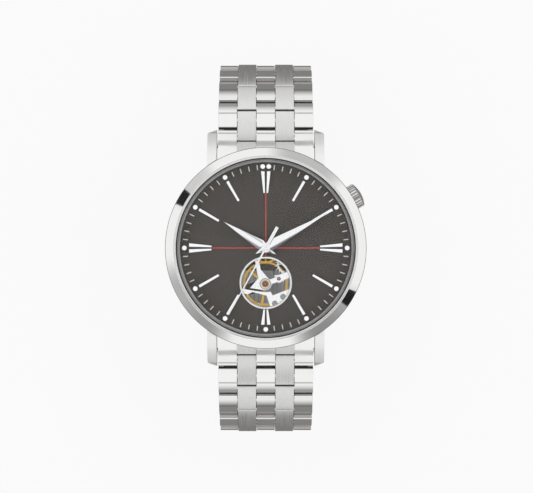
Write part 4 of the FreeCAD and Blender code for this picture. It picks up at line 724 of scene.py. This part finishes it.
studioValues = {
    "floorSize": 1.6, "floorColour": (0.86, 0.86, 0.86), "floorShadeInReflections": (0.30, 0.29, 0.28),
    "floorGlow": 0.9, "background": 0.985,
    "overhead": 1.3, "horizon": 0.12, "overheadUntil": 58.0, "horizonFrom": 98.0,
    "bandAt": 57.0, "bandHalf": 1.6, "bandSoft": 1.2, "bandDark": 0.5,
}
flags = [
    # azimuth, lean from straight up, half width and soft edge in degrees, then how dark
    (149.0, 14.6, 1.35, 0.15, 0.97),
    (-31.0, 14.6, 1.35, 0.15, 0.97),
    (139.0, 14.6, 1.0, 3.5, 0.3),
    (232.0, 26.0, 9.0, 5.0, 0.72),
    (306.0, 26.0, 9.0, 5.0, 0.85),
    (218.0, 14.6, 3.2, 5.0, 0.5),
    (311.0, 14.6, 2.4, 4.5, 0.55),
    (64.0, 14.6, 2.2, 4.5, 0.42),
]


def makeStudio(values, cards):
    # A soft dome: bright overhead, dimmer low down, with black cards at a few directions.
    world = bpy.data.worlds.new("studio")
    bpy.context.scene.world = world
    world.use_nodes = True
    tree = world.node_tree
    tree.nodes.clear()
    where = addNode(tree, "ShaderNodeTexCoord")
    toward = addNode(tree, "ShaderNodeVectorMath", operation="NORMALIZE")
    link(tree, where.outputs["Generated"], toward.inputs[0])
    parts = addNode(tree, "ShaderNodeSeparateXYZ")
    link(tree, toward.outputs[0], parts.inputs[0])
    ramp = addNode(tree, "ShaderNodeMapRange", interpolation_type="SMOOTHSTEP")
    ramp.inputs["From Min"].default_value = math.cos(math.radians(values["horizonFrom"]))
    ramp.inputs["From Max"].default_value = math.cos(math.radians(values["overheadUntil"]))
    ramp.inputs["To Min"].default_value = values["horizon"]
    ramp.inputs["To Max"].default_value = values["overhead"]
    link(tree, parts.outputs["Z"], ramp.inputs["Value"])
    light = ramp.outputs["Result"]
    level = math2(tree, "ARCCOSINE", parts.outputs["Z"])
    away = math2(tree, "ABSOLUTE", math2(tree, "SUBTRACT", level, math.radians(values["bandAt"])))
    band = addNode(tree, "ShaderNodeMapRange", interpolation_type="SMOOTHSTEP")
    band.inputs["From Min"].default_value = math.radians(values["bandHalf"])
    band.inputs["From Max"].default_value = math.radians(values["bandHalf"] + values["bandSoft"])
    band.inputs["To Min"].default_value = 1.0 - values["bandDark"]
    band.inputs["To Max"].default_value = 1.0
    link(tree, away, band.inputs["Value"])
    light = math2(tree, "MULTIPLY", light, band.outputs["Result"])
    for azimuth, lean, halfWidth, soft, dark in cards:
        flat = math.sin(math.radians(lean))
        direction = (flat * math.cos(math.radians(azimuth)), flat * math.sin(math.radians(azimuth)),
                     math.cos(math.radians(lean)))
        closeness = addNode(tree, "ShaderNodeVectorMath", operation="DOT_PRODUCT")
        closeness.inputs[1].default_value = direction
        link(tree, toward.outputs[0], closeness.inputs[0])
        card = addNode(tree, "ShaderNodeMapRange", interpolation_type="SMOOTHSTEP")
        card.inputs["From Min"].default_value = math.cos(math.radians(halfWidth + soft))
        card.inputs["From Max"].default_value = math.cos(math.radians(halfWidth))
        card.inputs["To Min"].default_value = 1.0
        card.inputs["To Max"].default_value = 1.0 - dark
        link(tree, closeness.outputs["Value"], card.inputs["Value"])
        light = math2(tree, "MULTIPLY", light, card.outputs["Result"])
    path = addNode(tree, "ShaderNodeLightPath")
    seen = addNode(tree, "ShaderNodeMix", data_type="FLOAT")
    link(tree, path.outputs["Is Camera Ray"], seen.inputs["Factor"])
    link(tree, light, seen.inputs["A"])
    seen.inputs["B"].default_value = values["background"]
    glow = addNode(tree, "ShaderNodeBackground")
    link(tree, seen.outputs["Result"], glow.inputs["Strength"])
    end = addNode(tree, "ShaderNodeOutputWorld")
    link(tree, glow.outputs[0], end.inputs["Surface"])


def makeFloor(values):
    # A square of pale paper under the bracelet, lifted towards white where the eye meets it, and painted
    # dark grey where polished metal reflects it.
    half = values["floorSize"] / 2
    low = cadBox[0][2]
    corners = np.array([[-half, -half, low], [half, -half, low], [half, half, low], [-half, half, low]])
    mesh = bpy.data.meshes.new("paperFloor")
    mesh.from_pydata(corners.tolist(), [], [[0, 1, 2, 3]])
    floor = bpy.data.objects.new("paperFloor", mesh)
    bpy.context.scene.collection.objects.link(floor)
    material = bpy.data.materials.new("paper")
    material.use_nodes = True
    tree = material.node_tree
    tree.nodes.clear()
    path = addNode(tree, "ShaderNodeLightPath")
    paper = addNode(tree, "ShaderNodeMix", data_type="RGBA")
    paper.inputs["A"].default_value = (*values["floorColour"], 1.0)
    paper.inputs["B"].default_value = (*values["floorShadeInReflections"], 1.0)
    # Reflected rays see the paper painted dark grey.
    link(tree, path.outputs["Is Glossy Ray"], paper.inputs["Factor"])
    diffuse = addNode(tree, "ShaderNodeBsdfDiffuse")
    link(tree, paper.outputs["Result"], diffuse.inputs["Color"])
    glow = addNode(tree, "ShaderNodeEmission")
    glow.inputs["Strength"].default_value = values["background"]
    share = math2(tree, "MULTIPLY", path.outputs["Is Camera Ray"], values["floorGlow"])
    mix = addNode(tree, "ShaderNodeMixShader")
    link(tree, share, mix.inputs[0])
    link(tree, diffuse.outputs[0], mix.inputs[1])
    link(tree, glow.outputs[0], mix.inputs[2])
    end = addNode(tree, "ShaderNodeOutputMaterial")
    link(tree, mix.outputs[0], end.inputs["Surface"])
    mesh.materials.append(material)


makeStudio(studioValues, flags)
makeFloor(studioValues)

cameraValues = {"above": 0.55, "fieldWidth": 0.1081, "sensor": 36.0, "x": 0.00015, "y": 0.0003}
cameraData = bpy.data.cameras.new("camera")
cameraData.sensor_width = cameraValues["sensor"]
cameraData.lens = cameraValues["sensor"] * cameraValues["above"] / cameraValues["fieldWidth"]
cameraData.clip_start = 0.01
camera = bpy.data.objects.new("camera", cameraData)
camera.location = (cameraValues["x"], cameraValues["y"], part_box("bezel")[1].z + cameraValues["above"])
bpy.context.scene.collection.objects.link(camera)
bpy.context.scene.camera = camera
bpy.context.scene.view_settings.view_transform = "Standard"
print("studio set")
